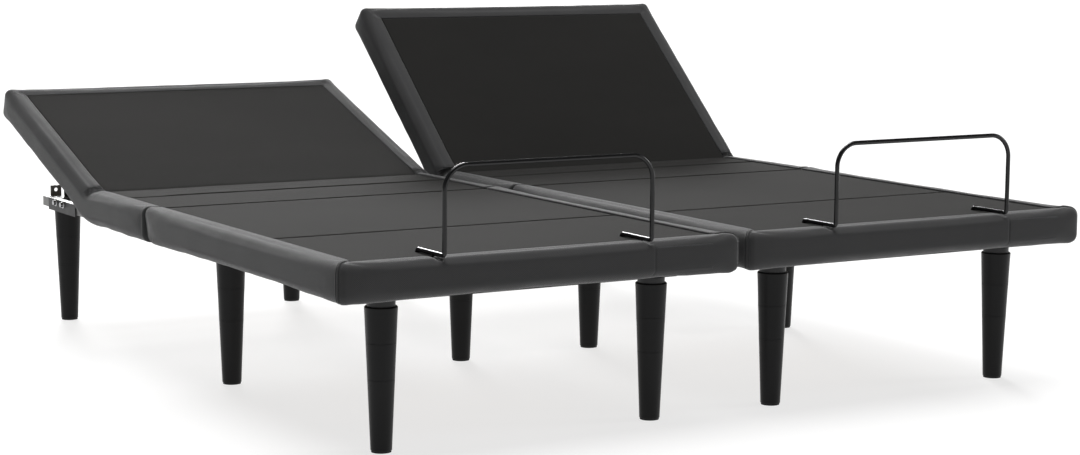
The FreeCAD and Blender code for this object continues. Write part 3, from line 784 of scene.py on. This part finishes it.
def pleats(points, section, half):
    # small folds where the fabric is pushed together, fanning out from the panel's corner
    v = creaseValues
    dy = points[..., 1] - half["back"][0]
    depth = np.clip(1 - section[:, 0] / section[:, 0].max(), 0, 1)[None, :]
    pitch = v["pleatInner"] + (v["pleatOuter"] - v["pleatInner"]) * depth
    folds = np.sin(dy / pitch * 2 * math.pi + 1.2 * np.sin(depth * 4))
    window = smoothStep(dy, v["pleatFrom"] - 0.008, v["pleatFrom"] + 0.006)
    window = window * (1 - smoothStep(dy, v["pleatTo"] - 0.012, v["pleatTo"] + 0.006))
    onTop = smoothStep(section[:, 1], *v["pleatHeights"]) * (1 - smoothStep(section[:, 0], *v["pleatEdge"]))
    return v["pleatDepth"] * folds * window * onTop[None, :]


def backCover(half):
    side = half["side"]
    v = creaseValues
    start = half["seatStart"]
    crease = half["back"][0] - start

    def fineSpans(straight, arc, total):
        near = (crease + v["fineFrom"], crease + v["fineTo"])
        return [near, (total - near[1], total - near[0])] + endSpans(straight, arc, total)

    section = railSection(half, half["half"] - half["inner"])
    path = railPath(half, start, flatLength, half["endWidth"], fineSpans)
    marks, total = path[0], path[1]
    easing = smoothStep(path[2][:, 1] - half["back"][0], 0.0, v["easeLength"])
    points = railRings(half, path, section, eased(easing))
    points = roundedEnds(points, marks, total, railValues["endRound"])
    points = points + swelling("backRails", points, marks, section)
    points = uneven(points, marks, section, 11 if side == "left" else 47)
    normal = ringNormals(points)
    points = points + normal * pleats(points, section, half)[:, :, None]
    sag = bump(points[..., 1] - half["back"][0], v["underPlace"], v["underReach"])
    onSide = np.abs(points[..., 0]) > half["inner"] - 0.01
    onSide = onSide * (1 - smoothStep(points[..., 2], *v["underHeights"]))
    points[..., 2] -= v["underBulge"] * sag * onSide
    bent = turnedBack(points, half, v["railZone"], half["angle"], v["lowZone"])
    mesh = tubeMesh(side + "_back_and_seat_rails", placed(bent, half), marks, aroundLengths(section))
    return finished(side + "_back_and_seat_rails", mesh, finishes["railCloth"])


footRings = {}


def footCover(half):
    side = half["side"]
    v = railValues
    barLine = half["barReach"] - v["barInset"]

    def fineSpans(straight, arc, total):
        middle = straight + arc + half["half"] - v["cornerRound"]
        seam = middle + v["seamPlace"]
        reach = v["dentSpan"]
        dents = [(middle + place - reach, middle + place + reach) for place in (-barLine, barLine)]
        return endSpans(straight, arc, total) + dents + [(seam - v["seamSpan"], seam + v["seamSpan"])]

    section = railSection(half, half["half"] - half["inner"])
    path = railPath(half, v["thighTop"], 0.0, half["endWidth"], fineSpans)
    marks, total, outer = path[:3]
    points = railRings(half, path, section, eased(1 - smoothStep(outer[:, 1], *v["easeEnds"])))
    # the thigh end leans, so that it clears the seat as it lifts
    height = (half["high"] - points[..., 2]) / (half["high"] - half["low"])
    depth = np.minimum(marks, total - marks)
    lean = (1 - smoothStep(depth, 0.0, v["leanLength"]))[:, None] * height * (v["thighTop"] - v["thighLow"])
    points[..., 1] -= lean
    points = roundedEnds(points, marks, total, v["endRound"])
    points = points + swelling("footRails", points, marks, section)
    points = uneven(points, marks, section, 23 if side == "left" else 61)
    # the retainer bar's feet press into the end rail's top
    dent = bump(np.abs(points[..., 0]), barLine, v["dentReach"])
    dent = dent * smoothStep(points[..., 2], *v["dentHeights"])
    dent = dent * smoothStep(points[..., 1], *v["dentFront"])
    dent = dent * (1 - smoothStep(points[..., 1], *v["dentBack"]))
    points[..., 2] -= v["barDent"] * dent
    # upright seam beside the name plate
    onFace = (1 - smoothStep(points[..., 1], *v["seamDepths"])) * smoothStep(points[..., 2], *v["seamLow"])
    onFace = onFace * (1 - smoothStep(points[..., 2], *v["seamHigh"]))
    points[..., 1] += v["seamDepth"] * bump(points[..., 0], v["seamPlace"], v["seamReach"]) * onFace
    mesh = tubeMesh(side + "_foot_and_thigh_rails", placed(points, half), marks, aroundLengths(section))
    footRings[side] = (points, marks, section)
    return finished(side + "_foot_and_thigh_rails", mesh, finishes["railCloth"])


# Deck covers: thin padded cloth over the boards, one over seat and back, one over thigh and foot

deckValues = {
    "step": 0.012, "fineStep": 0.0025, "edgeDrop": 0.0008, "edgeReach": 0.008, "waviness": 0.0006,
    "lineDepth": 0.0045, "lineReach": 0.0030, "bandLow": 1.2620, "bandHigh": 1.3530, "bandRise": 0.0016,
    "bandStart": -0.345, "bandFade": 0.04, "bandEdge": 0.001, "rimIn": (0.004, 0.002), "rimReach": 0.0022,
    "bandShare": 0.45, "rimShare": 0.55, "seamSpan": 0.007, "endSpan": 0.012, "hingeNear": 0.045,
    "kneeSpan": 0.008, "sideSpans": (0.01, 0.0105), "sideIn": 0.0004, "endIn": 0.0006, "past": 0.0003,
}


def spaced(start, end, fine):
    places = [start]
    while places[-1] < end - 1e-9:
        here = places[-1]
        near = any(a <= here < b for a, b in fine)
        places.append(min(end, here + (deckValues["fineStep"] if near else deckValues["step"])))
    return np.array(places)


def acrossDeck(half):
    # places across a deck cover, closer together at its edges
    edge = half["inner"] - deckValues["sideIn"]
    first, last = deckValues["sideSpans"]
    return spaced(-edge, edge, [(-edge, -edge + first), (edge - last, edge)])


def slab(across, along, heights, bottom):
    # a closed pad: a grid on top, a grid below, walls between
    rows, columns = len(along), len(across)
    top = np.zeros((rows, columns, 3))
    top[:, :, 0] = across[None, :]
    top[:, :, 1] = along[:, None]
    low = top.copy()
    top[:, :, 2] = heights
    low[:, :, 2] = bottom
    return top, low


def slabMesh(name, top, low):
    rows, columns = top.shape[:2]
    vertices = [tuple(p) for p in top.reshape(-1, 3)] + [tuple(p) for p in low.reshape(-1, 3)]
    shift = rows * columns
    faces = []
    for i in range(rows - 1):
        for j in range(columns - 1):
            a = i * columns + j
            quad = (a, a + 1, a + columns + 1, a + columns)
            faces.append(quad)
            faces.append(tuple(reversed([q + shift for q in quad])))
    rim = list(range(columns))
    rim += [i * columns + columns - 1 for i in range(1, rows)]
    rim += [(rows - 1) * columns + j for j in range(columns - 2, -1, -1)]
    rim += [i * columns for i in range(rows - 2, 0, -1)]
    for a, b in zip(rim, rim[1:] + rim[:1]):
        faces.append((b, a, a + shift, b + shift))
    mesh = bpy.data.meshes.new(name)
    mesh.from_pydata(vertices, [], faces)
    outward(mesh)
    return mesh


def deckHeights(half, across, along, lines, seed):
    v = deckValues
    u, y = np.meshgrid(across, along)
    edge = np.minimum(half["inner"] - np.abs(u), np.minimum(y - along[0], along[-1] - y) + 0.004)
    height = half["deckTop"] - v["edgeDrop"] * np.exp(-np.maximum(edge, 0) / v["edgeReach"] * 2.5)
    wave = ripple(u + 0.31 * y, seed, 0.12, 0.5) * ripple(y - 0.2 * u, seed + 3, 0.15, 0.6)
    height = height + v["waviness"] * wave * smoothStep(edge, 0.0, 0.05)
    for line in lines:
        height = height - v["lineDepth"] * bump(y, line, v["lineReach"])
    return height


def backDeck(half):
    side = half["side"]
    v = deckValues
    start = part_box(side + "_seat_top_pad")[0].y - half["foot"] - v["past"]
    end = flatLength - half["endWidth"] - v["endIn"]
    hinge = half["back"][0]
    seams = [(place - v["seamSpan"], place + v["seamSpan"]) for place in (v["bandLow"], v["bandHigh"])]
    ends = [(start, start + v["endSpan"]), (end - v["endSpan"], end)]
    along = spaced(start, end, ends + [(hinge - v["hingeNear"], hinge + v["hingeNear"])] + seams)
    across = acrossDeck(half)
    heights = deckHeights(half, across, along, [v["bandLow"]], 5 if side == "left" else 31)
    u, y = np.meshgrid(across, along)
    soft = v["bandEdge"]
    band = smoothStep(y, v["bandLow"] - soft, v["bandLow"] + soft)
    band = band * (1 - smoothStep(y, v["bandHigh"] - soft, v["bandHigh"] + soft))
    lowRim = bump(y, v["bandLow"] + v["rimIn"][0], v["rimReach"])
    rims = lowRim + bump(y, v["bandHigh"] - v["rimIn"][1], v["rimReach"])
    present = smoothStep(u, v["bandStart"], v["bandStart"] + v["bandFade"])
    heights = heights + v["bandRise"] * present * (v["bandShare"] * band + v["rimShare"] * rims)
    top, under = slab(across, along, heights, half["deckLow"])
    top = turnedBack(top, half, creaseValues["deckZone"], half["angle"])
    under = turnedBack(under, half, creaseValues["deckZone"], half["angle"])
    mesh = slabMesh(side + "_back_and_seat_deck_cover", placed(top, half), placed(under, half))
    return finished(side + "_back_and_seat_deck_cover", mesh, finishes["deckCloth"])


def footDeck(half):
    side = half["side"]
    v = deckValues
    start = half["endWidth"] + v["endIn"]
    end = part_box(side + "_thigh_top_pad")[1].y - half["foot"] + v["past"]
    knee = half["knee"][0]
    ends = [(start, start + v["endSpan"]), (end - v["endSpan"], end)]
    along = spaced(start, end, ends + [(knee - v["kneeSpan"], knee + v["kneeSpan"])])
    across = acrossDeck(half)
    heights = deckHeights(half, across, along, [knee], 17 if side == "left" else 71)
    top, under = slab(across, along, heights, half["deckLow"])
    mesh = slabMesh(side + "_foot_and_thigh_deck_cover", placed(top, half), placed(under, half))
    return finished(side + "_foot_and_thigh_deck_cover", mesh, finishes["deckCloth"])


def upholster(half):
    side = half["side"]
    rails = backCover(half)
    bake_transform(rails)
    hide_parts(side + "_seat_rail_pads", side + "_back_rail_pads")
    deck = backDeck(half)
    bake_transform(deck)
    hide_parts(side + "_seat_top_pad", side + "_back_top_pad")
    legRails = footCover(half)
    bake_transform(legRails)
    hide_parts(side + "_foot_rail_pads", side + "_thigh_rail_pads")
    legDeck = footDeck(half)
    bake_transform(legDeck)
    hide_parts(side + "_foot_top_pad", side + "_thigh_top_pad")


for half in halves.values():
    upholster(half)
    print("upholstered the", half["side"], "half")

# Small pieces that repeat come from two node trees

def geometryTree(name, inputs):
    tree = bpy.data.node_groups.new(name, "GeometryNodeTree")
    tree.interface.new_socket("Geometry", in_out="INPUT", socket_type="NodeSocketGeometry")
    for label, kind, value in inputs:
        socket = tree.interface.new_socket(label, in_out="INPUT", socket_type=kind)
        if value is not None:
            socket.default_value = value
    tree.interface.new_socket("Geometry", in_out="OUTPUT", socket_type="NodeSocketGeometry")
    nodes = Nodes(tree)
    return tree, nodes, nodes.add("NodeGroupInput"), nodes.add("NodeGroupOutput")


def finishTree(nodes, given, made, instances):
    realize = nodes.add("GeometryNodeRealizeInstances")
    nodes.join(instances, realize.inputs[0])
    paint = nodes.add("GeometryNodeSetMaterial")
    nodes.join(realize.outputs[0], paint.inputs["Geometry"])
    nodes.join(given.outputs["Finish"], paint.inputs["Material"])
    nodes.join(paint.outputs[0], made.inputs[0])


def buildRowTree():
    # small rounded pieces end to end along a line, such as stitches or staples
    tree, nodes, given, made = geometryTree("rowAlongLine", [
        ("Spacing", "NodeSocketFloat", 0.004), ("Length", "NodeSocketFloat", 0.003),
        ("Width", "NodeSocketFloat", 0.0006), ("Height", "NodeSocketFloat", 0.0006),
        ("Finish", "NodeSocketMaterial", None),
    ])
    curve = nodes.add("GeometryNodeMeshToCurve")
    nodes.join(given.outputs["Geometry"], curve.inputs[0])
    points = nodes.add("GeometryNodeCurveToPoints", mode="LENGTH")
    nodes.join(curve.outputs[0], points.inputs["Curve"])
    nodes.join(given.outputs["Spacing"], points.inputs["Length"])
    bead = nodes.add("GeometryNodeMeshUVSphere")
    bead.inputs["Segments"].default_value = 6
    bead.inputs["Rings"].default_value = 5
    bead.inputs["Radius"].default_value = 0.5
    size = nodes.add("ShaderNodeCombineXYZ")
    for socket, label in zip(size.inputs, ("Width", "Height", "Length")):
        nodes.join(given.outputs[label], socket)
    shaped = nodes.add("GeometryNodeTransform")
    nodes.join(bead.outputs[0], shaped.inputs["Geometry"])
    nodes.join(size.outputs[0], shaped.inputs["Scale"])
    spread = nodes.add("GeometryNodeInstanceOnPoints")
    nodes.join(points.outputs["Points"], spread.inputs["Points"])
    nodes.join(points.outputs["Rotation"], spread.inputs["Rotation"])
    nodes.join(shaped.outputs[0], spread.inputs["Instance"])
    finishTree(nodes, given, made, spread.outputs[0])
    return tree


def buildNutTree():
    # washer, nut and bolt end under each point
    tree, nodes, given, made = geometryTree("nutsUnderPoints", [
        ("Radius", "NodeSocketFloat", 0.0065), ("Height", "NodeSocketFloat", 0.005),
        ("Finish", "NodeSocketMaterial", None),
    ])
    stack = nodes.add("GeometryNodeJoinGeometry")
    layers = (("washer", 20, 1.45, 0.25, -0.12), ("nut", 6, 1.0, 1.0, -0.75), ("bolt", 10, 0.5, 0.7, -1.5))
    for label, sides, wide, tall, drop in layers:
        layer = nodes.add("GeometryNodeMeshCylinder", label=label)
        layer.inputs["Vertices"].default_value = sides
        nodes.join(nodes.maths("MULTIPLY", given.outputs["Radius"], wide), layer.inputs["Radius"])
        nodes.join(nodes.maths("MULTIPLY", given.outputs["Height"], tall), layer.inputs["Depth"])
        place = nodes.add("ShaderNodeCombineXYZ")
        nodes.join(nodes.maths("MULTIPLY", given.outputs["Height"], drop), place.inputs[2])
        moved = nodes.add("GeometryNodeTransform")
        nodes.join(layer.outputs["Mesh"], moved.inputs["Geometry"])
        nodes.join(place.outputs[0], moved.inputs["Translation"])
        nodes.join(moved.outputs[0], stack.inputs[0])
    spread = nodes.add("GeometryNodeInstanceOnPoints")
    nodes.join(given.outputs["Geometry"], spread.inputs["Points"])
    nodes.join(stack.outputs[0], spread.inputs["Instance"])
    finishTree(nodes, given, made, spread.outputs[0])
    return tree


rowTree = buildRowTree()
nutTree = buildNutTree()


def fromTree(name, tree, lines, material, sizes, smooth=True):
    # lines: lists of points, joined up within each list; single points stay loose
    vertices, edges = [], []
    for line in lines:
        first = len(vertices)
        vertices += [tuple(p) for p in line]
        edges += [(first + i, first + i + 1) for i in range(len(line) - 1)]
    mesh = bpy.data.meshes.new(name + "Guide")
    mesh.from_pydata(vertices, edges, [])
    guide = bpy.data.objects.new(name + "Guide", mesh)
    bpy.context.scene.collection.objects.link(guide)
    modifier = guide.modifiers.new(name, "NODES")
    modifier.node_group = tree
    for item in tree.interface.items_tree:
        if item.in_out == "INPUT" and item.name in sizes:
            modifier[item.identifier] = sizes[item.name]
        if item.in_out == "INPUT" and item.name == "Finish":
            modifier[item.identifier] = material
    evaluated = guide.evaluated_get(bpy.context.evaluated_depsgraph_get())
    made = bpy.data.meshes.new_from_object(evaluated)
    made.name = name
    bpy.data.objects.remove(guide)
    return finished(name, made, material, smooth)


def cordMesh(name, lines, radius, sides=8):
    # round welts along lines of points, closed at both ends
    shape = bmesh.new()
    for line in lines:
        line = [Vector(p) for p in line]
        rings = []
        for i, middle in enumerate(line):
            ahead = (line[min(i + 1, len(line) - 1)] - line[max(i - 1, 0)]).normalized()
            side = ahead.cross(Vector((0.31, 0.87, 0.41))).normalized()
            other = ahead.cross(side)
            thin = 0.55 if i in (0, len(line) - 1) else 1.0
            ring = []
            for step in range(sides):
                angle = 2 * math.pi * step / sides
                spoke = side * math.cos(angle) + other * math.sin(angle)
                ring.append(shape.verts.new(middle + spoke * radius * thin))
            rings.append(ring)
        joinLoops(shape, rings)
    return closedMesh(shape, name)


# Welts and stitches on the foot corners, and stitches along the seams across the seat

seamValues = {
    "weltRadius": 0.0026, "weltPlaces": (-0.0032, 0.0032), "weltProud": 0.0003, "weltLow": 0.3345,
    "stitchBeside": 0.0090, "spacing": 0.0042, "length": 0.0030, "thick": 0.0007, "outside": 0.040,
    "stitchProud": 0.0001, "seatProud": 0.0004, "seatPlaces": (0.009, 0.006), "seatEnds": (0.02, 0.012),
    "seatPoints": 60,
}


def ringAt(rings, marks, place):
    index = int(np.clip(np.searchsorted(marks, place), 1, len(marks) - 1))
    share = (place - marks[index - 1]) / (marks[index] - marks[index - 1])
    return rings[index - 1] * (1 - share) + rings[index] * share


def stitchSizes():
    v = seamValues
    return {"Spacing": v["spacing"], "Length": v["length"], "Width": v["thick"], "Height": v["thick"]}


def footSeams(half, rings, marks, section):
    v = seamValues
    total = marks[-1]
    straight = railValues["thighTop"] - railValues["cornerRound"]
    outside = np.where((section[:, 0] < v["outside"]) & (section[:, 1] > v["weltLow"]))[0]
    normal = ringNormals(rings)
    welts, stitches = [], []
    for mirror in (False, True):
        for place in v["weltPlaces"]:
            mark = straight + place
            mark = total - mark if mirror else mark
            ring = ringAt(rings, marks, mark) + ringAt(normal, marks, mark) * v["weltProud"]
            welts.append(ring[outside])
        for place in (straight + v["stitchBeside"], straight - v["stitchBeside"]):
            mark = total - place if mirror else place
            ring = ringAt(rings, marks, mark) + ringAt(normal, marks, mark) * v["stitchProud"]
            stitches.append(ring[outside])
    side = half["side"]
    mesh = cordMesh(side + "_corner_welts", [placed(line, half) for line in welts], v["weltRadius"])
    piece = finished(side + "_corner_welts", mesh, finishes["railCloth"])
    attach(piece, side + "_foot")
    lines = [placed(line, half) for line in stitches]
    piece = fromTree(side + "_corner_stitches", rowTree, lines, finishes["thread"], stitchSizes())
    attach(piece, side + "_foot")


def seatSeams(half):
    v = seamValues
    z = half["deckTop"] + v["seatProud"]
    start = deckValues["bandStart"] + v["seatEnds"][0]
    across = np.linspace(start, half["inner"] - v["seatEnds"][1], v["seatPoints"])
    lines = []
    for edge, beyond in zip(("bandLow", "bandHigh"), v["seatPlaces"]):
        y = deckValues[edge] + beyond
        lines.append(placed(np.array([(u, y, z) for u in across]), half))
    piece = fromTree(half["side"] + "_seat_stitches", rowTree, lines, finishes["thread"], stitchSizes())
    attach(piece, "base")


# Name plate: a rounded plate with a raised rim and a plain bed outline printed in the recess

plateValues = {
    "round": 0.004, "rim": 0.0045, "bevel": 0.0005, "recess": 0.0008, "stroke": 0.0016, "ink": 0.00018,
}


def roundedLoop(x0, x1, z0, z1, radius, y):
    points = []
    for cx, cz, first in ((x1, z1, 0), (x0, z1, 90), (x0, z0, 180), (x1, z0, 270)):
        for step in range(7):
            angle = math.radians(first + 15 * step)
            inX = cx - math.copysign(radius, cx - (x0 + x1) / 2)
            inZ = cz - math.copysign(radius, cz - (z0 + z1) / 2)
            points.append((inX + radius * math.cos(angle), y, inZ + radius * math.sin(angle)))
    return points


def namePlate(half):
    side = half["side"]
    v = plateValues
    low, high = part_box(side + "_name_plate")
    loops = []
    recess = low.y + v["recess"]
    steps = ((0.0, high.y), (0.0, low.y + v["bevel"]), (v["bevel"], low.y), (v["rim"], low.y),
             (v["rim"] + v["bevel"], recess - 0.0002), (v["rim"] + v["bevel"] * 2, recess))
    shape = bmesh.new()
    for inset, y in steps:
        radius = max(v["round"] - inset, 0.0012)
        loop = roundedLoop(low.x + inset, high.x - inset, low.z + inset, high.z - inset, radius, y)
        loops.append([shape.verts.new(p) for p in loop])
    joinLoops(shape, loops)
    mesh = closedMesh(shape, side + "_foot_plate")
    plate = finished(side + "_foot_plate", mesh, finishes["platePlastic"], smooth=False)
    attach(plate, side + "_foot")
    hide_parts(side + "_name_plate")
    middle = Vector(((low.x + high.x) / 2, recess, (low.z + high.z) / 2))
    outline = bedOutline(side, middle)
    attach(outline, side + "_foot")


def bedOutline(side, middle):
    # a mattress line with a raised back, two legs and a floor line
    v = plateValues
    strokes = [
        ((-0.030, 0.0), (0.006, 0.0)), ((0.006, 0.0), (0.026, 0.011)), ((-0.024, 0.0), (-0.024, -0.010)),
        ((0.018, -0.002), (0.018, -0.010)), ((-0.030, 0.0), (-0.030, 0.006)),
        ((0.002, -0.002), (0.021, -0.002)),
    ]
    shape = bmesh.new()
    for (x0, z0), (x1, z1) in strokes:
        along = Vector((x1 - x0, z1 - z0)).normalized() * v["stroke"] / 2
        aside = Vector((-along.y, along.x))
        ends = [Vector((x0, z0)) - along, Vector((x1, z1)) + along]
        flat = [ends[0] + aside, ends[1] + aside, ends[1] - aside, ends[0] - aside]
        back = [shape.verts.new((middle.x + p.x, middle.y, middle.z + p.y)) for p in flat]
        front = [shape.verts.new((middle.x + p.x, middle.y - v["ink"], middle.z + p.y)) for p in flat]
        joinLoops(shape, [back, front])
    mesh = closedMesh(shape, side + "_plate_print")
    return finished(side + "_plate_print", mesh, finishes["printInk"], smooth=False)


# Underneath: the deck cloth is turned under the boards and stapled, and nuts hold boards to frames

underValues = {
    "hemWidth": 0.022, "hemThick": 0.0009, "stapleSpacing": 0.045, "staple": (0.010, 0.0011, 0.0009),
    "nutSpacing": 0.22, "nutRadius": 0.0065, "nutHeight": 0.005, "memberLine": 0.330,
    "nutsFrom": 0.035, "nutsTo": 0.03, "nutDrop": 0.025, "hemPoints": 24, "hingeGap": 0.035, "endGap": 0.02,
}


def strip(x0, x1, along, z0, z1):
    middle = (x0 + x1) / 2
    top = np.array([[(x0, y, z1), (middle, y, z1), (x1, y, z1)] for y in along])
    low = np.array([[(x0, y, z0), (middle, y, z0 - 0.0003), (x1, y, z0)] for y in along])
    return top, low


def raisedWithBack(mesh, half, isBack):
    # the back's pieces are made flat and then turned up with it
    if isBack:
        hinge = Vector((half["centre"], half["foot"] + half["back"][0], half["back"][1]))
        turn = Matrix.Translation(hinge) @ Matrix.Rotation(half["angle"], 4, "X") @ Matrix.Translation(-hinge)
        mesh.transform(turn)


def undersideOf(half, part, body, start, end, board):
    side = half["side"]
    v = underValues
    isBack = part == "back"
    staples, nuts = [], []
    shape = bmesh.new()
    for sign in (-1, 1):
        x0, x1 = sorted((sign * (half["inner"] - 0.0006), sign * (half["inner"] - v["hemWidth"])))
        along = np.linspace(start, end, v["hemPoints"])
        wobble = 0.0016 * ripple(along, 7 + sign, 0.05, 0.3)
        top, low = strip(x0, x1, along, board - v["hemThick"], board)
        edge = 0 if sign > 0 else 2
        top[:, edge, 0] += wobble
        low[:, edge, 0] += wobble
        shape.from_mesh(slabMesh(part + "Hem", placed(top, half), placed(low, half)))
        middle = sign * (half["inner"] - v["hemWidth"] / 2)
        staples.append(placed(np.array([(middle, y, board - v["hemThick"] - 0.0004) for y in along]), half))
        for y in np.arange(start + v["nutsFrom"], end - v["nutsTo"], v["nutSpacing"]):
            nuts.append(placed(np.array([(sign * v["memberLine"], y, board - v["nutDrop"])]), half))
    mesh = bpy.data.meshes.new(side + "_" + part + "_hems")
    shape.to_mesh(mesh)
    shape.free()
    raisedWithBack(mesh, half, isBack)
    piece = finished(side + "_" + part + "_hems", mesh, finishes["deckCloth"])
    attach(piece, body)
    length, wide, tall = v["staple"]
    sizes = {"Spacing": v["stapleSpacing"], "Length": length, "Width": wide, "Height": tall}
    piece = fromTree(side + "_" + part + "_staples", rowTree, staples, finishes["zincPlate"], sizes)
    raisedWithBack(piece.data, half, isBack)
    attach(piece, body)
    if part != "seat":
        sizes = {"Radius": v["nutRadius"], "Height": v["nutHeight"]}
        piece = fromTree(side + "_" + part + "_nuts", nutTree, nuts, finishes["zincPlate"], sizes, False)
        raisedWithBack(piece.data, half, isBack)
        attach(piece, body)


def undersides(half):
    side = half["side"]
    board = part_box(side + "_seat_deck")[0].z
    knee, thigh, back = half["knee"][0], half["thigh"][0], half["back"][0]
    gap, endGap = underValues["hingeGap"], underValues["endGap"]
    undersideOf(half, "foot", side + "_foot", half["endWidth"] + endGap, knee - gap, board)
    undersideOf(half, "thigh", side + "_thigh", knee + gap, thigh - gap, board)
    undersideOf(half, "seat", "base", thigh + gap, back - gap, board)
    undersideOf(half, "back", side + "_back", back + gap, flatLength - half["endWidth"] - endGap, board)


# Bright bolt heads with washers on the corner plates

boltValues = {
    "fromHead": (0.166, 0.112), "underTop": 0.007, "washer": 0.0094, "head": 0.0074, "washerThick": 0.0024,
    "headThick": 0.0083, "bevel": 0.0008, "plateFace": 0.008,
}


def boltLoop(x, y, z, radius, sides):
    steps = [2 * math.pi * step / sides for step in range(sides)]
    return [(x, y + radius * math.cos(angle), z + radius * math.sin(angle)) for angle in steps]


def cornerBolts(half):
    side = half["side"]
    v = boltValues
    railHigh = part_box(side + "_frame_side_rails")[1]
    low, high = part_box(side + "_frame_brackets")
    z = railHigh.z - v["underTop"]
    shape = bmesh.new()
    for sign, outside in ((-1, low.x), (1, high.x)):
        face = outside - sign * v["plateFace"]
        for fromHead in v["fromHead"]:
            y = railHigh.y - fromHead
            for radius, thick, sides in ((v["washer"], v["washerThick"], 24), (v["head"], v["headThick"], 6)):
                steps = ((0, radius), (thick - v["bevel"], radius), (thick, radius - v["bevel"]))
                loops = []
                for out, size in steps:
                    ring = boltLoop(face + sign * out, y, z, size, sides)
                    loops.append([shape.verts.new(place) for place in ring])
                joinLoops(shape, loops)
    mesh = closedMesh(shape, side + "_corner_bolts")
    piece = finished(side + "_corner_bolts", mesh, finishes["zincPlate"], smooth=False)
    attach(piece, "base")


for half in halves.values():
    cornerBolts(half)
    footSeams(half, *footRings[half["side"]])
    seatSeams(half)
    namePlate(half)
    undersides(half)
    print("trimmed the", half["side"], "half")

# Floor, lights and camera

stageValues = {
    "floorReach": 60.0, "floorColour": (0.25, 0.25, 0.25), "floorGlow": 0.74, "worldStrength": 0.06,
    "topSun": 3.6, "topSpread": 0.8, "backSun": 2.1, "backSpread": 0.3, "leftSun": 0.08, "leftSpread": 0.9,
    "rightSun": 0.9, "rightSpread": 0.35, "topWay": (0.0, -0.25, -1.0), "backWay": (-0.35, -1.0, -0.5),
    "leftWay": (1.0, 0.2, -0.5), "rightWay": (-1.0, 0.3, -0.3),
}


def buildFloor():
    v = stageValues
    mesh = bpy.data.meshes.new("floor")
    reach = v["floorReach"]
    corners = [(-reach, -reach, 0), (reach, -reach, 0), (reach, reach, 0), (-reach, reach, 0)]
    mesh.from_pydata(corners, [], [(0, 1, 2, 3)])
    material = bpy.data.materials.new("floorPaint")
    material.use_nodes = True
    shader = material.node_tree.nodes["Principled BSDF"]
    shader.inputs["Base Color"].default_value = v["floorColour"] + (1.0,)
    shader.inputs["Roughness"].default_value = 0.8
    shader.inputs["Specular IOR Level"].default_value = 0.1
    shader.inputs["Emission Color"].default_value = (1.0, 1.0, 1.0, 1.0)
    shader.inputs["Emission Strength"].default_value = v["floorGlow"]
    floor = finished("floor", mesh, material, smooth=False)


def softSun(name, direction, strength, spread):
    data = bpy.data.lights.new(name, "SUN")
    data.energy = strength
    data.angle = spread
    lamp = bpy.data.objects.new(name, data)
    bpy.context.scene.collection.objects.link(lamp)
    lamp.rotation_mode = "QUATERNION"
    lamp.rotation_quaternion = Vector(direction).to_track_quat("-Z", "Y")


def buildLights():
    v = stageValues
    world = bpy.data.worlds.new("studio")
    world.use_nodes = True
    background = world.node_tree.nodes["Background"]
    background.inputs[0].default_value = (1.0, 1.0, 1.0, 1.0)
    background.inputs[1].default_value = v["worldStrength"]
    bpy.context.scene.world = world
    for side in ("top", "back", "left", "right"):
        softSun(side + "Sun", v[side + "Way"], v[side + "Sun"], v[side + "Spread"])


cameraValues = {
    "place": (-3.03435, -5.20355, 1.10421), "yaw": 0.5411, "pitch": 0.1311, "roll": 0.0069, "lens": 79.73,
}


def buildCamera():
    v = cameraValues
    yaw, pitch, roll = v["yaw"], v["pitch"], v["roll"]
    ahead = Vector((math.sin(yaw) * math.cos(pitch), math.cos(yaw) * math.cos(pitch), -math.sin(pitch)))
    level = Vector((math.cos(yaw), -math.sin(yaw), 0))
    upright = level.cross(ahead)
    right = level * math.cos(roll) + upright * math.sin(roll)
    up = upright * math.cos(roll) - level * math.sin(roll)
    data = bpy.data.cameras.new("camera")
    data.lens = v["lens"]
    data.sensor_width = 36.0
    camera = bpy.data.objects.new("camera", data)
    bpy.context.scene.collection.objects.link(camera)
    turn = Matrix((right, up, -ahead)).transposed().to_4x4()
    camera.matrix_world = Matrix.Translation(v["place"]) @ turn
    bpy.context.scene.camera = camera


buildFloor()
buildLights()
buildCamera()
bpy.context.scene.view_settings.view_transform = "Standard"
print("stage built")
